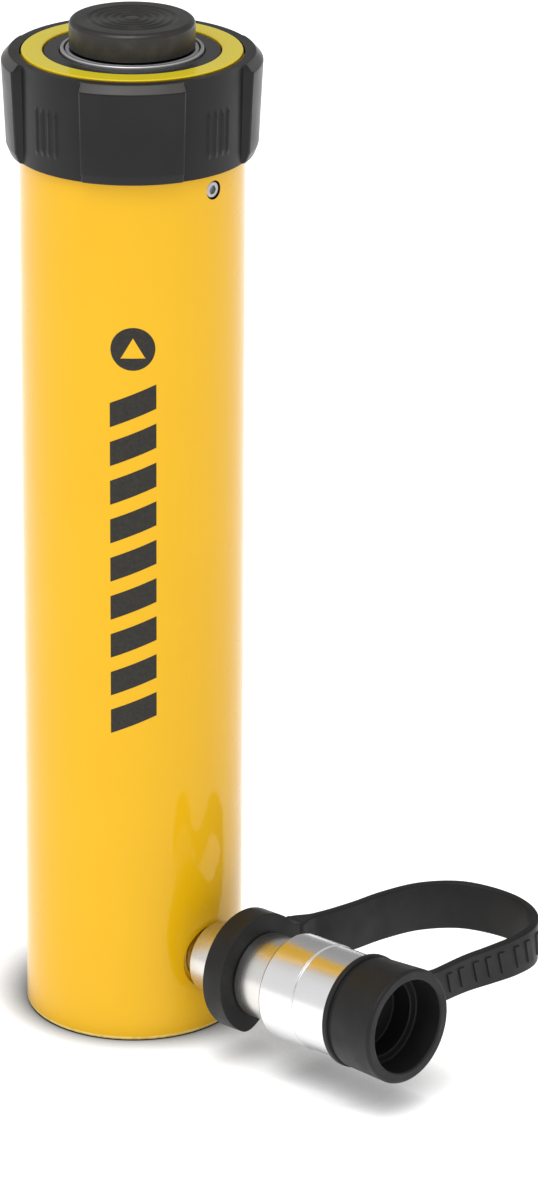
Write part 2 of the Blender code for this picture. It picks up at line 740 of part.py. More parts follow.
def build_coupler(home, cutters, finishes, axis):
    """The nipple in the port and the coupler half on it, with its sleeve, seal and valve."""
    turned(
        "port_nipple",
        (
            (PASSAGE_R, NIPPLE_STUB_END),
            (NIPPLE_STUB_R, NIPPLE_STUB_END),
            (NIPPLE_STUB_R, NIPPLE_FRONT),
            (NIPPLE_R - 0.6, NIPPLE_FRONT),
            (NIPPLE_R, NIPPLE_FRONT - 0.6),
            (NIPPLE_R, NIPPLE_BACK + 0.6),
            (NIPPLE_R - 0.6, NIPPLE_BACK),
            (PORT_SHANK_R, NIPPLE_BACK),
            (PORT_SHANK_R, -PORT_SHANK_DEPTH),
            (PASSAGE_R, -PORT_SHANK_DEPTH),
        ),
        finishes["nickel"],
        home,
        axis,
        steps=SMALL_STEPS,
    )
    ring_low = SLEEVE_RING_STATION - GAP
    ring_high = SLEEVE_RING_STATION + SLEEVE_RING_WIDTH + GAP
    ring_floor_r = COUPLER_NECK_R - 0.9
    seal_floor_r = MOUTH_SEAL_WIRE_R + GAP + MOUTH_R + 0.35
    seal_half = MOUTH_SEAL_WIRE_R + GAP
    turned(
        "coupler_body",
        (
            (MOUTH_R, COUPLER_FRONT),
            (COUPLER_NECK_R - 0.4, COUPLER_FRONT),
            (COUPLER_NECK_R, COUPLER_FRONT - 0.4),
            (COUPLER_NECK_R, ring_high),
            (ring_floor_r, ring_high),
            (ring_floor_r, ring_low),
            (COUPLER_NECK_R, ring_low),
            (COUPLER_NECK_R, COUPLER_REAR_FRONT),
            (COUPLER_LAND_R - 0.5, COUPLER_REAR_FRONT),
            (COUPLER_LAND_R, COUPLER_REAR_FRONT - 0.5),
            (COUPLER_LAND_R, COUPLER_LAND_BACK),
            (COUPLER_REAR_R, COUPLER_LAND_BACK),
            (COUPLER_REAR_R, NIPPLE_FRONT + 0.8),
            (COUPLER_REAR_R - 0.5, NIPPLE_FRONT + GAP),
            (NIPPLE_STUB_R + GAP, NIPPLE_FRONT + GAP),
            (NIPPLE_STUB_R + GAP, NIPPLE_STUB_END + 0.5),
            (CHAMBER_R, NIPPLE_STUB_END + 0.5),
            (CHAMBER_R, CHAMBER_END),
            (THROAT_R, THROAT_BACK),
            (THROAT_R, MOUTH_FLOOR),
            (MOUTH_R, MOUTH_FLOOR),
            (MOUTH_R, MOUTH_SEAL_STATION - seal_half),
            (seal_floor_r, MOUTH_SEAL_STATION - seal_half),
            (seal_floor_r, MOUTH_SEAL_STATION + seal_half),
            (MOUTH_R, MOUTH_SEAL_STATION + seal_half),
        ),
        finishes["nickel"],
        home,
        axis,
    )
    seal = wire_ring(seal_floor_r - GAP - MOUTH_SEAL_WIRE_R, MOUTH_SEAL_WIRE_R, MOUTH_SEAL_STATION)
    turned("coupler_mouth_seal", seal, finishes["seal"], home, axis, steps=SMALL_STEPS)
    turned(
        "coupler_sleeve",
        (
            (SLEEVE_BORE_R + 0.6, SLEEVE_FRONT),
            (SLEEVE_FRONT_R - 0.6, SLEEVE_FRONT),
            (SLEEVE_FRONT_R, SLEEVE_FRONT - 0.6),
            (SLEEVE_FRONT_R, SLEEVE_LINE + 0.5),
            (SLEEVE_FRONT_R - 0.3, SLEEVE_LINE + 0.25),
            (SLEEVE_R - 0.3, SLEEVE_LINE),
            (SLEEVE_R, SLEEVE_LINE - 0.4),
            (SLEEVE_R, SLEEVE_BACK + 0.8),
            (SLEEVE_R - 0.8, SLEEVE_BACK),
            (COUPLER_NECK_R + GAP, SLEEVE_BACK),
            (COUPLER_NECK_R + GAP, SLEEVE_RING_STATION - GAP),
            (SLEEVE_SHOULDER_R, SLEEVE_RING_STATION - GAP),
            (SLEEVE_SHOULDER_R, SLEEVE_RING_STATION + SLEEVE_RING_WIDTH + 1.0),
            (SLEEVE_BORE_R, SLEEVE_RING_STATION + SLEEVE_RING_WIDTH + 2.4),
            (SLEEVE_BORE_R, SLEEVE_FRONT - 0.6),
        ),
        finishes["bright_steel"],
        home,
        axis,
    )
    ring = open_ring(SLEEVE_SHOULDER_R - GAP, ring_floor_r + GAP, 90.0, SLEEVE_RING_GAP)
    ring_top = SLEEVE_RING_STATION + SLEEVE_RING_WIDTH
    extruded("sleeve_retaining_ring", ring, SLEEVE_RING_STATION, ring_top, finishes["spring_steel"], home, axis)
    turned(
        "coupler_poppet",
        (
            (0.0, POPPET_NOSE_FRONT),
            (POPPET_NOSE_R - 0.8, POPPET_NOSE_FRONT),
            (POPPET_NOSE_R, POPPET_NOSE_FRONT - 0.8),
            (POPPET_NOSE_R, POPPET_CONE_FRONT),
            (POPPET_FLANGE_R, POPPET_CONE_BACK),
            (POPPET_FLANGE_R, POPPET_FLANGE_BACK),
            (POPPET_STEM_R, POPPET_FLANGE_BACK),
            (POPPET_STEM_R, GUIDE_BACK - 1.0),
            (0.0, GUIDE_BACK - 1.0),
        ),
        finishes["steel"],
        home,
        axis,
        steps=SMALL_STEPS,
    )
    coil(
        "poppet_spring",
        POPPET_SPRING_R,
        POPPET_SPRING_WIRE_R,
        GUIDE_FRONT + GAP + POPPET_SPRING_WIRE_R,
        POPPET_FLANGE_BACK - GAP - POPPET_SPRING_WIRE_R,
        POPPET_SPRING_TURNS,
        finishes["spring_steel"],
        home,
        axis,
    )
    guide = turned(
        "poppet_guide",
        plain_ring(CHAMBER_R - GAP, POPPET_STEM_R + GAP, GUIDE_BACK, GUIDE_FRONT),
        finishes["steel"],
        home,
        axis,
        steps=SMALL_STEPS,
    )
    back, front = GUIDE_BACK - 1.0, GUIDE_FRONT + 1.0
    for i in range(FLOW_HOLES):
        spot = across(FLOW_HOLE_CIRCLE_R, 360.0 * i / FLOW_HOLES + FLOW_HOLE_TURN)
        hole = rod(f"flow_cutter_{i}", FLOW_HOLE_R, back, front, finishes["steel"], cutters, axis, FLOW_HOLE_STEPS, spot)
        boolean(guide, hole)


def build_dust_cap(home, cutters, finishes, axis):
    """The moulded rubber dust cap, the clip that holds it to the coupler, and the strap between them."""
    cap = turned(
        "dust_cap",
        (
            (0.0, CAP_WELL_FLOOR),
            (CAP_WELL_R, CAP_WELL_FLOOR),
            (CAP_WELL_R, CAP_SOCKET_FLOOR),
            (CAP_SOCKET_R, CAP_SOCKET_FLOOR),
            (CAP_SOCKET_R, CAP_FRONT - 0.4),
            (CAP_SOCKET_R + 0.4, CAP_FRONT),
            (CAP_RIM_R - 0.9, CAP_FRONT),
            (CAP_RIM_R - 0.25, CAP_FRONT - 0.3),
            (CAP_RIM_R, CAP_FRONT - 1.0),
            (CAP_BODY_R, CAP_FLANGE_FRONT + 1.6),
            (CAP_GROOVE_R, CAP_FLANGE_FRONT + 1.0),
            (CAP_GROOVE_R, CAP_FLANGE_FRONT + 0.5),
            (CAP_FLANGE_R - 0.3, CAP_FLANGE_FRONT),
            (CAP_FLANGE_R, CAP_FLANGE_FRONT - 0.5),
            (CAP_FLANGE_R, CAP_BACK + 0.5),
            (CAP_FLANGE_R - 0.5, CAP_BACK),
            (CAP_PLUG_R, CAP_BACK),
            (CAP_PLUG_R, CAP_PLUG_END + 0.8),
            (CAP_PLUG_R - 0.8, CAP_PLUG_END),
            (0.0, CAP_PLUG_END),
        ),
        finishes["black_rubber"],
        home,
        axis,
    )
    lug_low, lug_high = CAP_LUG
    lug = block(
        "cap_lug",
        (-CAP_LUG_HALF, 14.5, lug_low),
        (CAP_LUG_HALF, LUG_SIDE, lug_high),
        finishes["black_rubber"],
        cutters,
        axis,
    )
    boolean(cap, lug, "UNION")
    extruded("tether_clip", clip_outline(), CLIP_BACK, CLIP_FRONT, finishes["black_rubber"], home, axis)
    route = smooth_route(STRAP_ROUTE, STRAP_STEPS)
    strap = band(
        "tether_strap", route, STRAP_THICKNESS, STRAP_HEIGHTS, STRAP_MIDDLES_Z, finishes["black_rubber"], home
    )
    strap.parent = axis
    strap.matrix_parent_inverse = axis.matrix_world.inverted()


def finish_pieces(home):
    """Makes each piece one plain mesh, with a curve's caps welded, shaded smooth between its sharp edges."""
    graph = bpy.context.evaluated_depsgraph_get()
    pieces = [item for item in home.objects if item.type != "EMPTY"]
    meshes = [bpy.data.meshes.new_from_object(piece.evaluated_get(graph)) for piece in pieces]
    for piece, mesh in zip(pieces, meshes):
        builder = bmesh.new()
        builder.from_mesh(mesh)
        bmesh.ops.remove_doubles(builder, verts=builder.verts, dist=WELD_DISTANCE)
        builder.to_mesh(mesh)
        builder.free()
        mesh.shade_smooth()
        mesh.set_sharp_from_angle(angle=SHARP_ANGLE)
        name = piece.name
        applied = bpy.data.objects.new(name, mesh)
        applied.parent = piece.parent
        applied.matrix_parent_inverse = piece.matrix_parent_inverse
        applied.matrix_basis = piece.matrix_basis
        home.objects.link(applied)
        bpy.data.objects.remove(piece, do_unlink=True)
        applied.name = name


def build():
    for item in list(bpy.data.objects):
        bpy.data.objects.remove(item, do_unlink=True)
    home = new_collection("hydraulic_cylinder")
    cutters = new_collection("cutters")
    cutters.hide_render = True
    finishes = {
        "yellow": new_finish("yellow_paint", (0.90, 0.52, 0.02), 0.28),
        "dark_steel": new_finish("dark_steel", (0.10, 0.10, 0.11), 0.40, 0.8),
        "bronze": new_finish("bronze", (0.42, 0.27, 0.12), 0.45, 0.9),
        "bright_steel": new_finish("bright_steel", (0.72, 0.72, 0.74), 0.18, 1.0),
        "steel": new_finish("steel", (0.42, 0.42, 0.43), 0.35, 1.0),
        "spring_steel": new_finish("spring_steel", (0.25, 0.25, 0.27), 0.40, 1.0),
        "nickel": new_finish("nickel_plate", (0.70, 0.68, 0.62), 0.30, 0.9),
        "black_oxide": new_finish("black_oxide", (0.10, 0.10, 0.10), 0.35, 0.7),
        "black_plastic": new_finish("black_plastic", (0.03, 0.03, 0.032), 0.45),
        "black_rubber": new_finish("black_rubber", (0.025, 0.025, 0.027), 0.60),
        "seal": new_finish("seal_rubber", (0.02, 0.02, 0.02), 0.70),
        "white_plastic": new_finish("white_plastic", (0.80, 0.80, 0.78), 0.50),
    }
    axis = bpy.data.objects.new("coupler_axis", None)
    axis.location = (BARREL_R * MM, 0.0, PORT_Z * MM)
    axis.rotation_euler = (0.0, math.pi / 2 - PORT_RISE, 0.0)
    home.objects.link(axis)
    bpy.context.view_layer.update()
    build_barrel(home, cutters, finishes, axis)
    build_stop_ring(home, cutters, finishes)
    build_plunger(home, finishes)
    build_return_spring(home, finishes)
    build_saddle(home, finishes)
    build_thread_protector(home, cutters, finishes)
    build_coupler(home, cutters, finishes, axis)
    build_dust_cap(home, cutters, finishes, axis)
    finish_pieces(home)


build()
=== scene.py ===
"""The looks of the spring-return hydraulic cylinder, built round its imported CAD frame.

Profiles are in millimetres, and MM takes them to the frame's metres. A corner is a radius, a height and a
fillet. A groove is its floor's radius and its two heights, and a ring is its radius, its wire's radius and its
height. The coupler's pieces are made in its own frame: Z runs outwards along the coupler from the barrel's
wall, Y is the frame's Y, and -X is up. Their heights are stations along that Z.
"""

import json
import math

import bmesh
import bpy
from mathutils import Matrix, Vector


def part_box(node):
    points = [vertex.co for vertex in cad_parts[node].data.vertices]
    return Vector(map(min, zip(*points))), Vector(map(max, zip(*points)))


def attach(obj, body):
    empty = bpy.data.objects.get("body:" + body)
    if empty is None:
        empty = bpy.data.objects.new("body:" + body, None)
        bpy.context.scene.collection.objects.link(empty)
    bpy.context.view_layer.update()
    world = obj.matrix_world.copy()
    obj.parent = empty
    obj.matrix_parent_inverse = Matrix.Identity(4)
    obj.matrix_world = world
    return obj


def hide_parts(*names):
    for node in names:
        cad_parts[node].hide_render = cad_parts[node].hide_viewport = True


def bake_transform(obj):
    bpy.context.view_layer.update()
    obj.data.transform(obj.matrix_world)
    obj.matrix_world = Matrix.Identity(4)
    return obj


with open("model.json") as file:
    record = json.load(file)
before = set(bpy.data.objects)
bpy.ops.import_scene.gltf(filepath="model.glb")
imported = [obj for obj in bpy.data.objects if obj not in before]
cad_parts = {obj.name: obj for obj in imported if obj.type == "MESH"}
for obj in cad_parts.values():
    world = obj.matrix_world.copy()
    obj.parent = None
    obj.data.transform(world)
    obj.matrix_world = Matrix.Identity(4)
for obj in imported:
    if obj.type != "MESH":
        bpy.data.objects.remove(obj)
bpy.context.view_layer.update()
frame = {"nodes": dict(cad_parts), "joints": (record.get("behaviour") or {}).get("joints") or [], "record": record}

RECORD = frame["record"]
JOINTS = {joint["name"]: joint for joint in frame["joints"]}
BODY_OF = {node: body for body, nodes in RECORD["behaviour"]["bodies"].items() for node in nodes}
SLOT_OF = {part["node"]: part["material_slot"] for part in RECORD["subparts"]}

MM = 0.001
STEPS = 128
SMALL_STEPS = 64
FINE_STEPS = 160
GUARD_STEPS = 480
TOOL_STEPS = 32
SHARP_ANGLE = math.radians(32)
BEVEL_ANGLE = math.radians(40)
SLIVER = 0.01

# Barrel
BARREL_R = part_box("cylinder_body")[1].x / MM
RIM_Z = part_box("cylinder_body")[1].z / MM
BORE_R = 25.4
FLOOR_Z = 18.0
GLAND_SEAT_R = 27.5
GLAND_SEAT_Z = 275.0
RIM_R = 33.87
THREAD_R = 34.3
THREAD_LOW_Z = RIM_Z - 30.2
THREAD_PITCH = 25.4 / 16
THREAD_DEPTH = 0.8
THREAD_STEPS = 6
FOOT_FILLET = 1.3
BASE_BOLT_CIRCLE_R = 23.8
BASE_BOLT_R = 4.0
BASE_BOLT_DEPTH = 12.7
LOCK_SCREW_R = 2.7
LOCK_SCREW_Z = 282.5
LOCK_SCREW_KEY = 1.25
LOCK_SCREW_HOLE_R = 3.0
LOCK_SCREW_PLACE = Matrix.Translation((0.0, 0.0, LOCK_SCREW_Z * MM)) @ Matrix.Rotation(math.pi / 2, 4, "Y")

# Plunger, gland and saddle
ROD_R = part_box("saddle")[1].x / MM + 1.3
HEAD_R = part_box("plunger")[1].x / MM
HEAD_FOOT_R = 23.5
STROKE = 203.2
WEAR_RING_GROOVE = (23.0, 66.0, 56.0)
SEAL_GROOVE = (20.6, 45.0, 36.0)
PLUNGER_BORE_R = 15.0
PLUNGER_BORE_TOP_Z = 284.0
PLUG_RING_GROOVE = (16.5, 265.4, 267.6)
PLUNGER_TOP_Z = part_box("plunger")[1].z / MM
SADDLE_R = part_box("saddle")[1].x / MM
SADDLE_TOP_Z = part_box("saddle")[1].z / MM
SADDLE_STEM_R = 10.7
SADDLE_RING_GROOVE = (9.2, 311.1, 308.9)
SADDLE_RING = (10.15, 0.65, 310.0)
SADDLE_HOLE_R = 11.1
SADDLE_HOLE_DEPTH = 25.0
SADDLE_GROOVE_PITCH = 2.5
SADDLE_GROOVE_DEPTH = 0.45
SADDLE_GROOVES = 5
SADDLE_GROOVE_STEPS = 10
WIPER_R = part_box("wiper_ring")[1].x / MM
WIPER_SEAT_Z = 313.7
GLAND_BORE_R = 21.0
BEARING_SEAT_R = 23.8
BEARING_SEAT_DEPTH = 29.6

# Springs: radius to the wire's middle, the wire's radius, and turns
RETURN_COIL = (11.5, 1.6, 14)
VALVE_COIL = (4.6, 0.6, 4)
VALVE_SPRING_STATIONS = (31.3, 44.1)

# Thread protector
GUARD_LOW_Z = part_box("thread_protector")[0].z / MM
GUARD_TOP_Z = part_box("thread_protector")[1].z / MM
GUARD_BORE_R = THREAD_R + 0.9
GUARD_THREAD_DEPTH = 0.5
GUARD_LIP_R = THREAD_R + 0.3
GUARD_LIP_HEIGHT = 1.6
GUARD_ROW = 0.9
GUARD_PADS = 4
GUARD_RECESS_HALF = 20.5
GUARD_STEP_HALF = 0.9
GUARD_RECESS_R = 37.35
GUARD_RECESS_TAPER = 0.6
GUARD_RIBS = 4
GUARD_RIB_SPACING = 4.2
GUARD_RIB_HALF = 1.1
GUARD_RIB_HEIGHT = 0.55
GUARD_RIB_Z = (293.5, 308.3)
GUARD_RIB_FADE = 1.6

# Coupler frame, from the joints that turn on its axis
COUPLER_WAY = Vector(JOINTS["sleeve_spin"]["axis"]).normalized()
ON_COUPLER = Vector(JOINTS["tether_swing"]["pos_m"])
COUPLER_START = ON_COUPLER - COUPLER_WAY * (ON_COUPLER.x - BARREL_R * MM) / COUPLER_WAY.x
COUPLER_TURN = math.atan2(COUPLER_WAY.x, COUPLER_WAY.z)
COUPLER = Matrix.Translation(COUPLER_START) @ Matrix.Rotation(COUPLER_TURN, 4, "Y")
COUPLER_UP = -COUPLER.col[0].xyz
COUPLER_FRONT = 60.0
NECK_R = 9.8
SLEEVE_RING_GROOVE = (8.9, 44.9, 42.9, 0.1)
MOUTH_R = 7.0
MOUTH_SEAL_GROOVE = (8.4, 54.15, 56.25, 0.1)
MOUTH_SEAL = (7.35, 0.75, 55.2)
PORT_CLEARANCE = 6.0
PORT_RECESS_R = 10.9
PORT_RECESS_DEPTH = 3.0
PORT_HOLE_R = 8.5
PORT_HOLE_DEPTH = 7.3
PASSAGE_R = 3.0
PASSAGE_DEPTH = 12.5
NIPPLE_R = 11.8
NIPPLE_BACK = 1.4
NIPPLE_FRONT = 12.5
SLEEVE_R = 17.2
SLEEVE_FRONT_R = 16.9
SLEEVE_BACK = 37.0
SLEEVE_LINE = 51.0
SLEEVE_FRONT = 65.2

# Clip, cap and strap
CLIP_R = 19.5
CLIP_CROWN = 0.6
CLIP_CROWN_SPANS = ((5, 45), (135, 60))
CLIP_BORE_R = 13.0
CLIP_STATIONS = (15.0, 23.0)
CLIP_TIP = -92.0
CLIP_HEEL = -27.0
CLIP_FLARE = 17.0
CLIP_TIP_R = 14.3
CLIP_HEEL_R = 17.1
CLIP_TAPER = 28.0
CLIP_NECK = (-4.7, 11.3)
CLIP_NECK_FILLET = 8.0
CAP_R = 17.9
CAP_BACK = 65.5
CAP_FRONT = 85.5
CAP_LUG_STATIONS = (68.8, 74.6)
CAP_LUG_HALF = 5.9
CAP_LUG_FILLETS = (4.7, 25.0)
LUG_END = 20.6
STRAP_THICKNESS = 2.7
STRAP_FILLET = 0.7
STRAP_ROOTS = (8.5, 6.3)
STRAP_TUCK = 0.7
STRAP_TUCK_LENGTH = 1.6
STRAP_ROOT_LENGTHS = (9.0, 8.0)
STRAP_HEIGHTS = (16.4, 11.8)
STRAP_MIDDLES_Z = (29.6, 28.6)
STRAP_TAPER_START = 0.35
STRAP_OUT = ((54.0, 17.8), (54.9, 25.0), (56.6, 32.0), (58.3, 42.0), (59.6, 54.0), (63.2, 67.0))
STRAP_BEND = ((71.0, 77.0), (81.0, 81.5), (92.2, 82.6), (101.9, 79.4), (108.0, 72.4))
STRAP_BACK = ((109.4, 62.6), (108.2, 52.2), (106.6, 42.0), (106.3, 31.0), (106.3, 17.8))
STRAP_ROUTE = STRAP_OUT + STRAP_BEND + STRAP_BACK
STRAP_STEPS = 8
STRAP_RIBS = 9
STRAP_RIB_SPAN = (16.0, 62.0)
STRAP_RIB_HALF = 1.5
STRAP_RIB_HEIGHT = 0.5
STRAP_RIB_SHARE = 0.31
STRAP_RIB_SLANT = 0.25

# Printed mark, centred on the barrel's front, halfway between +X and -Y
MARK_ANGLE = -45.0
MARK_HALF = 11.8
MARK_BARS = 9
MARK_BARS_Z = (107.7, 222.6)
MARK_BAR_FILL = 0.62
MARK_BAR_SLANT = 6.0
MARK_DISC_Z = 234.8
MARK_DISC_R = 6.9
MARK_ARROW_Z = (-3.0, 3.6)
MARK_ARROW_HALF = 3.8
MARK_LIFT = 0.06
MARK_DEPTH = 0.1

# Enamel
YELLOW = (0.81, 0.452, 0.005)
PAINT_RIM_Z = (RIM_Z - 0.45, RIM_Z - 0.2)
# The heights over which the painted highlight round the foot fades out
FOOT_HIGHLIGHT_Z = (1.2, 1.6)

# Camera, from the barrel's axis
CAMERA_DISTANCE = 1.7022
CAMERA_HEIGHT = 0.8227
CAMERA_SIDE = -45.0
CAMERA_TURN = 1.446
CAMERA_PITCH = 21.812
CAMERA_ROLL = 0.399
CAMERA_LENS = 176.1

# Studio. A light is a name, place, aim, size, power and turn
LIGHTS = (
    ("glint", (0.6, -0.6, 2.22), (0.0, 0.0, 0.3), (1.4, 0.3), 8.0, 0.0),
    ("top", (0.3, -1.2, 2.0), (0.0, 0.0, 0.0), (1.3, 1.0), 10.0, 45.0),
)
WORLD_STRENGTH = 0.77
# A side is a direction, the share along it where its change starts, and its factor before and at the end
WORLD_SIDES = (
    ((-0.7, -0.7, 0.1), -1.0, 0.87, 1.14),
    ((-0.66, 0.66, 0.35), 0.3, 1.0, 0.45),
)
FLOOR_WHITE = 0.42
FLOOR_SHADE = (0.01, 0.01, 0.01)
# A contact is the way light comes, how far off things still count, and the openness that is dark and clear
CONTACTS = (
    ((0.0, 0.0, 1.0), 0.013, 0.30, 1.0),
    ((0.55, -0.55, 0.62), 0.028, 0.35, 0.97),
)


# Shapes


def rounded(corners, arc_points=5):
    """The outline through corners (x, y, fillet), with each corner that has a fillet rounded."""
    outline = []
    for i, corner in enumerate(corners):
        point = Vector(corner[:2])
        if len(corner) == 2:
            outline.append(point)
            continue
        before = Vector(corners[i - 1][:2]) - point
        after = Vector(corners[(i + 1) % len(corners)][:2]) - point
        half = before.angle(after) / 2
        reach = min(corner[2] / math.tan(half), before.length * 0.48, after.length * 0.48)
        middle = (before.normalized() + after.normalized()).normalized()
        centre = point + middle * reach / math.cos(half)
        start = point + before.normalized() * reach - centre
        end = point + after.normalized() * reach - centre
        for k in range(arc_points):
            spoke = start.lerp(end, k / (arc_points - 1))
            outline.append(centre + spoke.normalized() * start.length)
    return outline


def groove(radius, floor, first, second, fillet=0.2):
    """The four corners of a square groove in a side, from its first height to its second."""
    corners = ((radius, first), (floor, first), (floor, second), (radius, second))
    return [(*corner, fillet) for corner in corners]


def split_long(outline, longest):
    """The outline with points added where two are further apart than longest."""
    split = []
    for a, b in zip(outline, outline[1:]):
        count = max(1, math.ceil((b - a).length / longest))
        split += [a.lerp(b, k / count) for k in range(count)]
    return [*split, outline[-1]]


def smooth_step(low, high, value):
    """0 at low and before it, 1 at high and past it, and an easy curve between."""
    share = min(1.0, max(0.0, (value - low) / (high - low)))
    return share * share * (3 - 2 * share)


def spread(start, end, count):
    """Evenly spaced values from start to end."""
    return [start + (end - start) * i / (count - 1) for i in range(count)]


def revolved(outline, steps=STEPS, shape=None):
    """A builder with (radius, height) points turned about Z. An outline off the axis is closed into a ring.

    shape takes a point's radius, height and turn, and gives its radius and height.
    """
    builder = bmesh.new()
    rings = []
    for radius, height in outline:
        ring = []
        for i in range(steps if radius > 0 else 1):
            turn = 2 * math.pi * i / steps
            r, z = shape(radius, height, turn) if shape else (radius, height)
            ring.append(builder.verts.new((r * math.cos(turn) * MM, r * math.sin(turn) * MM, z * MM)))
        rings.append(ring)
    pairs = list(zip(rings, rings[1:]))
    if outline[0][0] > 0:
        pairs.append((rings[-1], rings[0]))
    for upper, lower in pairs:
        for i in range(steps):
            j = i + 1
            top = (upper[i % len(upper)], upper[j % len(upper)])
            bottom = (lower[j % len(lower)], lower[i % len(lower)])
            builder.faces.new(dict.fromkeys((*top, *bottom)))
    return builder


def prism(outline, low, high):
    """A builder with a flat outline taken from one height to another."""
    builder = bmesh.new()
    rings = [[builder.verts.new((x * MM, y * MM, z * MM)) for x, y in outline] for z in (low, high)]
    for i in range(len(outline)):
        builder.faces.new((rings[0][i - 1], rings[0][i], rings[1][i], rings[1][i - 1]))
    for ring in rings:
        builder.faces.new(ring)
    return builder


def lofted(builder, sections):
    """Adds a closed loft through sections, which are lists of as many points in metres."""
    rings = [[builder.verts.new(point) for point in section] for section in sections]
    for ring, following in zip(rings, rings[1:]):
        for i in range(len(ring)):
            builder.faces.new((ring[i - 1], ring[i], following[i], following[i - 1]))
    builder.faces.new(rings[0])
    builder.faces.new(rings[-1])


def coil(radius, wire, turns, low, high, steps_per_turn=32, sides=12):
    """A builder with a coil spring of round wire about Z, which fills the space from low to high."""
    builder = bmesh.new()
    first, last = low + wire, high - wire
    steps = turns * steps_per_turn
    sections = []
    for i in range(steps + 1):
        turn = 2 * math.pi * i / steps_per_turn
        out = Vector((math.cos(turn), math.sin(turn), 0.0))
        centre = out * radius + Vector((0.0, 0.0, first + (last - first) * i / steps))
        angles = (2 * math.pi * k / sides for k in range(sides))
        spokes = (out * math.cos(angle) + Vector((0.0, 0.0, math.sin(angle))) for angle in angles)
        sections.append([(centre + spoke * wire) * MM for spoke in spokes])
    lofted(builder, sections)
    return builder


def wire_ring(radius, wire, height, points=16):
    """The outline of a ring of round wire."""
    turns = (2 * math.pi * i / points for i in range(points))
    return [(radius + wire * math.cos(turn), height + wire * math.sin(turn)) for turn in turns]


def thread(height, turn, depth, low, high):
    """How far a right-hand thread cuts in at this place, fading out over one pitch at each end."""
    phase = (height / THREAD_PITCH - turn / (2 * math.pi)) % 1.0
    fade = smooth_step(low, low + THREAD_PITCH, height) * smooth_step(high, high - THREAD_PITCH, height)
    return depth * abs(2 * phase - 1) * fade


def across(radius, angle):
    """A point across the coupler's axis: angle 0 is towards +Y, and 90 degrees is up."""
    turn = math.radians(angle)
    return (-radius * math.sin(turn), radius * math.cos(turn))


def angle_of(point):
    """The angle of a point across the coupler's axis."""
    return math.degrees(math.atan2(-point[0], point[1]))


def swept(radius, start, end, points):
    """Points across the coupler's axis from one angle to another."""
    return [across(radius, angle) for angle in spread(start, end, points)]


def neck_centre(radius, level, fillet):
    """How far along Y a fillet's centre is, between a circle round the axis and a level line."""
    return math.sqrt((radius + fillet) ** 2 - (level + fillet) ** 2)


def neck_fillet(radius, level, fillet, points=13):
    """The hollow between that circle and that level line, as far as the line or the lug's end."""
    centre_y = neck_centre(radius, level, fillet)
    start = math.atan2(-(level + fillet), -centre_y)
    end = -math.acos(min(0.0, LUG_END - centre_y) / fillet)
    hollow = []
    for turn in spread(start, end, points):
        up = level + fillet + fillet * math.sin(turn)
        hollow.append((-up, centre_y + fillet * math.cos(turn)))
    return hollow


def over_level(y, radius, level, fillet):
    """How far that hollow still stands over its level line at this distance from the axis."""
    short = max(0.0, neck_centre(radius, level, fillet) - y)
    return fillet - math.sqrt(fillet**2 - short**2)


# Pieces


def new_piece(name, builder, material, place=None):
    """An object of this builder's mesh, with one material."""
    mesh = bpy.data.meshes.new(name)
    bmesh.ops.recalc_face_normals(builder, faces=builder.faces)
    builder.to_mesh(mesh)
    builder.free()
    mesh.materials.append(material)
    piece = bpy.data.objects.new(name, mesh)
    bpy.context.scene.collection.objects.link(piece)
    if place:
        piece.matrix_world = place
    return piece


def applied(piece):
    """The piece with its modifiers applied."""
    graph = bpy.context.evaluated_depsgraph_get()
    mesh = bpy.data.meshes.new_from_object(piece.evaluated_get(graph))
    piece.modifiers.clear()
    piece.data = mesh
    return piece


def bevelled(piece, width, segments=3):
    """The piece with its sharp edges rounded."""
    bevel = piece.modifiers.new("Round", "BEVEL")
    bevel.width = width * MM
    bevel.segments = segments
    bevel.limit_method = "ANGLE"
    bevel.angle_limit = BEVEL_ANGLE
    return applied(piece)


def combined(piece, tools, operation="DIFFERENCE"):
    """The piece with tools cut out or joined on. A cut face takes its tool's material."""
    for tool in tools:
        boolean = piece.modifiers.new(tool.name, "BOOLEAN")
        boolean.operation = operation
        boolean.solver = "EXACT"
        boolean.material_mode = "TRANSFER"
        boolean.object = tool
    applied(piece)
    for tool in tools:
        bpy.data.objects.remove(tool, do_unlink=True)
    return piece


def shaded(piece):
    """The piece smooth between its sharp edges, with the normals weighted by face."""
    piece.data.shade_smooth()
    piece.data.set_sharp_from_angle(angle=SHARP_ANGLE)
    normals = piece.modifiers.new("Normals", "WEIGHTED_NORMAL")
    normals.keep_sharp = True
    return piece


def stand_for(piece, node):
    """The piece rides with a CAD node's body and is shown in its place."""
    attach(piece, BODY_OF[node])
    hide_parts(node)
    return piece


def turned(name, corners, finish, node, place=None, steps=STEPS):
    """A piece turned about Z from an outline's corners, shown in a CAD node's place."""
    stand_for(shaded(new_piece(name, revolved(rounded(corners), steps), finish, place)), node)


def ends_of(node, axis):
    """The lowest and highest place of a CAD node along an axis, in millimetres."""
    return [corner[axis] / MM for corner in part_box(node)]


# Materials


def new_node(tree, kind, *inputs, **settings):
    """A node of this kind with its settings, and its first inputs linked or set."""
    made = tree.nodes.new(kind)
    for name, value in settings.items():
        setattr(made, name, value)
    for socket, value in zip(made.inputs, inputs):
        if isinstance(value, bpy.types.NodeSocket):
            tree.links.new(value, socket)
        elif value is not None:
            socket.default_value = value
    return made


